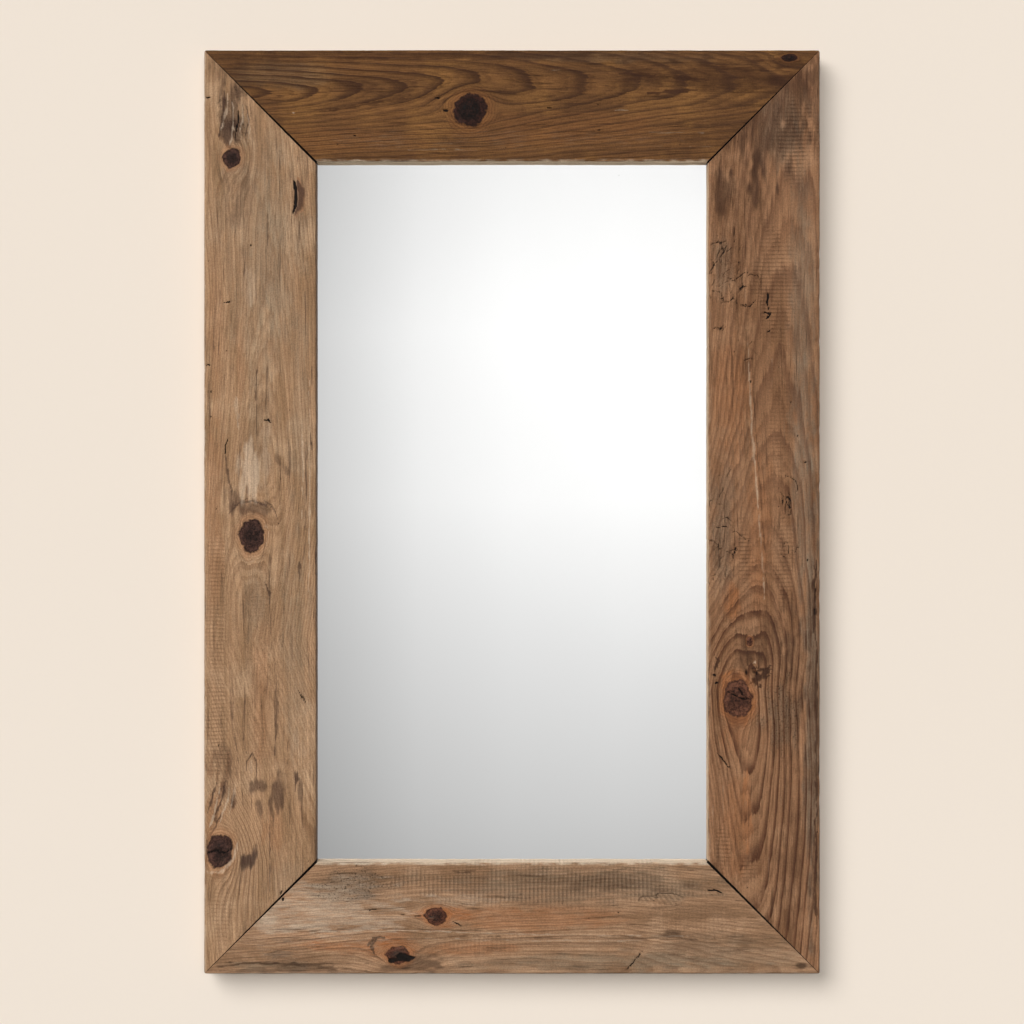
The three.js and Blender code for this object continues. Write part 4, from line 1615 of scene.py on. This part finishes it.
def bottom_board() -> Board:
    """The bottom rail: tan and grey with saw ripples, two knots left of the middle."""
    return Board(
        side=Side.BOTTOM,
        finish=OldPine(
            "old_pine_bottom", "#a68162", "#8e6c4f", "#b89474", "#684932", deep="#443022",
            grey="#80705c", warm="#a4683f", pale="#c9b49c", heart="#33201a", heart_red="#6f4330",
        ),
        rows=560,
        seed=53,
        pith=(
            (-305.9, -91.3, 30), (-111.1, -71.5, 30), (106.5, -56.7, 40), (304.3, -66.6, 60),
        ),
        ring_spacing=5.2,
        ring_base=0.34,
        gaps=(1.7, 1.9),
        knots=make(Knot,
            ((-75.5, 1.7), (10.0, 9.5), 1.6, (34, 14)),
            ((-113, -36.9), (11.0, 9.0), 2.4, (34, 18)),
        ),
        marks=(
            Patch(Mark.WARM, (-210, 2.7), (110, 40), 0.16),
            Patch(Mark.DARK, (185.6, -12.2), (120, 40), 0.2),
            Patch(Mark.GREY, (205.4, -36.9), (120, 22), 0.35),
            Patch(Mark.PALE, (-210, -7.2), (120, 40), 0.22),
            Stroke(Mark.DARK, ((-281.2, -43.8), (-213.9, -45.8), (-138.8, -52.7)), 3.0, 0.6),
            Patch(Mark.DARK, (-219.9, -50.7), (76, 3.5), 0.5, 0.0, 0.6),
            *lay(Stroke, Mark.DARK,
                (((-241.6, -26), (-219.9, -23), (-188.2, -20.1)), 1.6, 0.6),
                (((-210, -31.9), (-180.3, -26), (-144.7, -26)), 2.2, 0.4),
            ),
            *lay(Patch, Mark.RINGS,
                ((27.4, -22.1), (150, 12), 0.3), ((-160.5, -22.1), (90, 26), 0.3),
            ),
            Patch(Mark.GREY, (76.8, 33.3), (150, 20), 0.5),
            Patch(Mark.DARK, (76.8, 35.3), (130, 16), 0.12),
            *lay(Patch, Mark.GREY,
                ((-165.5, 32.3), (40, 16), 0.45), ((86.7, -43.8), (160, 9), 0.55),
                ((-239.6, -47.8), (50, 5), 0.6),
            ),
            *lay(Patch, Mark.DARK,
                ((106.5, 37.3), (70, 14), 0.35), ((-145.7, 22.5), (18, 8), 0.5, 0.0, 0.6),
                ((-85.4, -44.8), (22, 8), 0.6, 0.0, 0.8), ((-121, -49.7), (18, 5), 0.6),
                ((185.6, -27), (70, 16), 0.25), ((-229.7, -34.9), (14, 4), 0.42, 0.0, 0.6),
                ((286.5, -47.8), (7, 4), 0.85), ((158.9, -16.1), (10, 4), 0.6),
            ),
            *lay(Patch, Mark.WARM,
                ((17.5, -0.3), (100, 13), 0.5), ((-61.6, 1.7), (34, 10), 0.65),
                ((-175.3, -28), (44, 7), 0.55), ((-41.8, -30), (55, 8), 0.5),
                ((-116, -22.1), (20, 9), 0.5),
            ),
            *lay(Patch, Mark.PALE,
                ((-180.3, 11.6), (90, 30), 0.38), ((-239.6, -6.2), (40, 9), 0.26),
                ((-51.7, 17.5), (50, 8), 0.35),
            ),
            *lay(Patch, Mark.TORN,
                ((-160.5, 33.3), (44, 20), 0.9), ((-210, -43.8), (50, 6), 0.4),
            ),
            Stroke(
                Mark.PALE, ((-210, -14.1), (-111.1, -12.2), (7.6, -16.1), (175.7, -18.1)), 1.8,
                0.42,
            ),
            Stroke(
                Mark.DARK, ((-227.8, -14.1), (-180.3, -12.2), (-135.8, -10.2), (7.6, -13.2)), 1.6,
                0.65,
            ),
            Stroke(Mark.PALE, ((-111.1, -20.1), (7.6, -22.1), (165.9, -23)), 1.7, 0.4),
            *lay(Stroke, Mark.DARK,
                (((-101.2, -17.1), (7.6, -19.1), (185.6, -21.1)), 1.4, 0.55),
                (((-180.3, -28), (-229.7, -31.9), (-247.5, -37.9)), 1.4, 0.6),
                (((-284.1, -43.8), (-210, -45.8), (-140.7, -44.8)), 1.8, 0.7),
                (((-296, -47.8), (-283.2, -47.8), (-267.3, -45.8)), 1.8, 0.7),
            ),
            *lay(Stroke, Mark.INK,
                (((131.2, -30), (120.4, -43.8), (110.5, -53.7)), 1.1, 0.8),
                (((192.6, 26.4), (200.5, 27.4), (207.4, 24.4)), 2.0, 0.9),
                (((105.5, 4.6),), 1.8, 0.9), (((75.9, -0.3),), 1.8, 0.9),
                (((-226.8, 20.5), (-225.8, 16.5)), 1.8, 0.9), (((-153.6, 52.1),), 1.8, 0.8),
                (((-141.7, 7.6), (-134.8, 8.6)), 1.3, 0.7),
                (((-110.1, 2.7), (-87.3, 1.7)), 1.1, 0.65),
                (((-58.6, -3.3), (-49.7, -8.2)), 1.3, 0.75),
            ),
            *lay(Patch, Mark.INK,
                ((-105.1, -38.9), (6, 3.2), 0.75, 0.0, 0.9),
                ((-120, -42.8), (5, 3), 0.7, 0.0, 0.7),
            ),
            *lay(Patch, Mark.WARM,
                ((-75.5, 1.7), (18, 13), 0.7, 0.0, 0.2), ((-119, -31.9), (26, 15), 0.6, 0.0, 0.3),
            ),
            *lay(Stroke, Mark.DARK,
                (((-133.8, -20.1), (-138.8, -28), (-135.8, -35.9)), 3.4, 0.85),
                (((-142.7, -28), (-136.8, -20.1), (-125.9, -19.1)), 3.0, 0.8),
            ),
            Stroke(Mark.WARM, ((-130.8, -27), (-122.9, -20.1), (-111.1, -22.1)), 3.0, 0.8),
        ),
        saws=make(SawBand,
            ((32.3, 32.3), (175, 22), 1.0, 4.15), ((146.1, 19.5), (26, 8), 0.9, 4.15, 40),
            ((-31.9, -27), (60, 10), 0.4, 4.15), ((185.6, -2.3), (60, 20), 0.3, 4.15),
        ),
        nicks=make(Nick,
            (-71.5, 0, 6.0, 1.0), (-41.8, 0, 3.0, 0.8), (47.2, 0, 8.0, 0.9), (126.3, 0, 4.0, 1.1),
            (175.7, 0, 5.0, 0.8), (-210, 1, 7.0, 0.9), (-91.3, 1, 5.0, 0.9), (225.2, 1, 6.0, 0.8),
        ),
        pits=28,
        warp=1.5,
        reveal=(Mark.PALE, 1.0),
        # The inner arris faces up into the light: its paleness is rubbed wear and painted highlight.
        inner_arris_wear_and_highlight=0.85,
        outer_arris_wear_and_highlight=0.3,
    )


# ---------------------------------------------------------------- glass, back and fittings


@dataclass(frozen=True)
class Fittings:
    """The CAD nodes that stay: each one's finish, by the name of its material slot."""

    edge: float = 0.25
    sharpest: float = 40.0
    hard: tuple[str, ...] = ("zinc_plate", "brassed_steel", "rubber")

    def dress(self) -> None:
        """Gives every visible CAD node the finish of its slot, and eases the hard edges."""
        finishes = {
            "silvered_glass": Mirror(),
            "zinc_plate": Plated("zinc_plate", "#b9bcbf", "#8f9497"),
            "brassed_steel": Plated("brassed_steel", "#c9a866", "#93723c", roughness=0.28),
            "rubber": Grainy("rubber", "#26262a", "#1b1b1e", "#3a3a3e", (500, 500, 500), 0.7, 0.05),
            "card": Grainy(
                "card", "#a5835b", "#8f6f4a", "#6d5439", (40, 600, 900), 0.92, 0.25, 140.0
            ),
            "fibreboard": Grainy(
                "fibreboard", "#77522f", "#5f3f24", "#3f2917", (260, 260, 260), 0.62, 0.12
            ),
            "beech": Grainy("beech", "#c79a6b", "#b0814f", "#8d6238", (900, 40, 900), 0.7, 0.15),
        }
        made = {name: finish.dress() for name, finish in finishes.items()}
        for name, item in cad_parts.items():
            for slot in item.material_slots:
                key = slot.material.name.split(".")[0] if slot.material else ""
                if key in made:
                    slot.material = made[key]
                    if key in self.hard:
                        self.ease_edges(item)
                elif item.visible_get():
                    log.warning("%s has a slot %s with no finish", name, key)
        log.info("finishes for %d nodes", len(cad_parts))

    def ease_edges(self, item: bpy.types.Object) -> None:
        """Rounds a fitting's sharp edges a little, so that they catch the light.

        Args:
            item: The CAD node.
        """
        bevel = item.modifiers.new("eased edges", "BEVEL")
        bevel.width = self.edge * MM
        bevel.segments = 2
        bevel.limit_method = "ANGLE"
        bevel.angle_limit = math.radians(self.sharpest)


# ---------------------------------------------------------------- studio


@dataclass
class Studio:
    """The cream wall, the pale floor, the soft lights and the camera."""

    wall_tone: str = "#f0e4d6"
    floor_tone: str = "#e9e2d8"
    wall_gap: float = 0.0005
    floor_level: float = -1.30
    lens: float = 106.6
    stand_off: float = 3.0
    key_light: float = 0.55
    key_spread: float = 38.0
    fill_light: float = 0.345
    fill_spread: float = 16.0
    room: float = 0.108
    board_distance: float = 4.2
    board_glow: float = 1.03
    floor_glow: float = 0.22
    key_from: Triple = (-0.49, -1.0, 0.55)
    fill_from: Triple = (0.10, -1.0, 0.10)
    back_from: Triple = (-1.3, 2.4, 1.0)
    back_size: float = 1.4
    back_watts: float = 110.0
    centre: np.ndarray = field(init=False)
    face: float = field(init=False)

    def build(self) -> None:
        """Builds the whole setting round the mirror."""
        low, high = (np.array(corner) for corner in CAD_BOUNDS)
        self.centre = (low + high) / 2
        self.face = low[1]
        bpy.context.scene.view_settings.view_transform = "Standard"
        self.add_wall()
        self.add_floor()
        self.add_reflector()
        self.add_lights()
        self.add_camera()
        log.info("studio is set")

    def sheet(
        self, name: str, centre: Triple, across: Triple, up: Triple, material: bpy.types.Material
    ) -> bpy.types.Object:
        """Adds a flat staged sheet.

        Args:
            name: Its name.
            centre: Its middle.
            across: From the middle to one side.
            up: From the middle to the top.
            material: Its finish.

        Returns:
            The staged object.
        """
        c, a, u = (np.array(v) for v in (centre, across, up))
        corners = np.array([c - a - u, c + a - u, c + a + u, c - a + u])
        sheet = put_mesh(name, corners, [[0, 1, 2, 3]], material)
        return sheet

    def add_wall(self) -> None:
        """Adds the wall: cream plaster, clear from behind so that the back can be seen."""
        r = Recipe("plaster")
        place = r.place()
        cloud = r.noise(place, (3, 3, 3), 3)
        grit = r.noise(place, (150, 150, 150), 3)
        tone = r.dim(linear(self.wall_tone)[:3], 0.985 + cloud * 0.02 + grit * 0.01)
        plaster = r.node("BsdfDiffuse", inputs={"Color": tone})
        clear = r.node("BsdfTransparent")
        behind = r.node("NewGeometry", output="Backfacing")
        both = r.node("MixShader", inputs={0: behind, 1: plaster, 2: clear})
        r.node_output(both)
        centre = (self.centre[0], self.wall_gap, self.floor_level + 2.0)
        wall = self.sheet("plaster_wall", centre, (3.5, 0, 0), (0, 0, 2.0), r.material)
        wall.visible_shadow = False
        wall.visible_diffuse = False

    def add_floor(self) -> None:
        """Adds the pale floor in front of the wall and behind it."""
        r = Recipe("pale_floor")
        cloud = r.noise(r.place(), (2, 2, 2), 4)
        tone = r.mix(cloud, linear(self.floor_tone), linear("#efe9e0"))
        floor = r.finish(
            Base_Color=tone, Roughness=0.9, Emission_Color=tone, Emission_Strength=self.floor_glow
        )
        sheet = self.sheet("pale_floor", (0, 0, self.floor_level), (5, 0, 0), (0, 5, 0), floor)
        sheet.visible_diffuse = False

    def add_reflector(self) -> None:
        """Adds the white board that the glass reflects: brightest above right of its middle.

        Its light is one curve across it times one curve up it, each eased between stops.
        """
        r = Recipe("white_board")
        x, _, z = r.parts(r.place())
        wide, tall, raised = 1.2, 2.0, 0.25
        across = (
            (-0.50, 0.57), (-0.432, 0.665), (-0.219, 0.871), (0.0, 0.965), (0.255, 1.0),
            (0.421, 0.982), (0.55, 0.95),
        )
        upward = (
            (-1.10, 0.53), (-0.941, 0.617), (-0.586, 0.776), (-0.23, 0.956), (0.173, 1.0),
            (0.482, 0.905), (0.68, 0.84),
        )
        moved = tuple((p + raised, v) for p, v in upward)
        rows = []
        for value, span, stops in ((x, wide, across), (z + raised, tall, moved)):
            ramp = tuple(((p + span / 2) / span, (v, v, v, 1.0)) for p, v in stops)
            place = (value + span / 2) * (1 / span)
            rows.append(r.node("ValToRGB", {"stops": ramp}, {0: place}))
        tone = r.mix(1.0, rows[0], rows[1], "MULTIPLY")
        tone = r.mix(1.0, tone, linear("#fefefe"), "MULTIPLY")
        r.node_output(r.node("Emission", inputs={"Color": tone, "Strength": self.board_glow}))
        centre = (0.0, -self.board_distance, self.centre[2])
        board = self.sheet("white_board", centre, (1.3, 0, 0), (0, 0, 1.7), r.material)
        board.visible_diffuse = False
        board.visible_camera = False
        board.visible_shadow = False

    def add_lights(self) -> None:
        """Adds the key from the upper left, a lamp for the back, and an even room light."""
        self.sun("key", self.key_from, self.key_spread, self.key_light)
        self.sun("fill", self.fill_from, self.fill_spread, self.fill_light)
        data = bpy.data.lights.new("back_lamp", "AREA")
        data.size = self.back_size
        data.energy = self.back_watts
        self.hang("back_lamp", data, self.back_from)
        self.add_room()

    def sun(self, name: str, place: Triple, spread: float, light: float) -> None:
        """Adds a distant soft lamp, the same all over the wall.

        Args:
            name: Its name.
            place: The direction that it shines from.
            spread: How wide it looks from the wall, in degrees.
            light: Its share of the wall's light, 1 being all of it.
        """
        data = bpy.data.lights.new(name, "SUN")
        data.angle = math.radians(spread)
        facing = -place[1] / math.hypot(*place)
        data.energy = light * math.pi / facing
        self.hang(name, data, place)

    def hang(self, name: str, data: bpy.types.Light, place: Triple) -> None:
        """Hangs a lamp and points it at the mirror's middle.

        Args:
            name: Its name.
            data: The lamp.
            place: Its place from the mirror's middle.
        """
        lamp = bpy.data.objects.new(name, data)
        lamp.location = self.centre + np.array(place)
        lamp.rotation_euler = Vector(place).to_track_quat("Z", "Y").to_euler()
        bpy.context.scene.collection.objects.link(lamp)

    def add_room(self) -> None:
        """Adds the room: a dim even light, which looks paler than it shines."""
        world = bpy.data.worlds.new("room")
        world.use_nodes = True
        tree = world.node_tree
        dim = tree.nodes["Background"]
        dim.inputs["Color"].default_value = linear("#fbf8f4")
        dim.inputs["Strength"].default_value = self.room
        seen = tree.nodes.new("ShaderNodeBackground")
        seen.inputs["Color"].default_value = linear("#ece6dd")
        path = tree.nodes.new("ShaderNodeLightPath")
        both = tree.nodes.new("ShaderNodeMixShader")
        tree.links.new(path.outputs["Is Diffuse Ray"], both.inputs[0])
        tree.links.new(seen.outputs[0], both.inputs[1])
        tree.links.new(dim.outputs[0], both.inputs[2])
        tree.links.new(both.outputs[0], tree.nodes["World Output"].inputs["Surface"])
        bpy.context.scene.world = world

    def add_camera(self) -> None:
        """Adds the camera, square to the mirror's middle."""
        data = bpy.data.cameras.new("camera")
        data.lens = self.lens
        data.sensor_width = 36.0
        camera = bpy.data.objects.new("camera", data)
        camera.location = (self.centre[0], self.face - self.stand_off, self.centre[2])
        camera.rotation_euler = (math.pi / 2, 0, 0)
        bpy.context.scene.collection.objects.link(camera)
        bpy.context.scene.camera = camera


# ---------------------------------------------------------------- build


def main() -> None:
    """Builds the boards, dresses the fittings and sets the studio."""
    logging.basicConfig(level=logging.INFO, format="%(name)s: %(message)s")
    for make in (top_board, right_board, bottom_board, left_board):
        make().build()
    Fittings().dress()
    Studio().build()


if __name__ == "__main__":
    main()
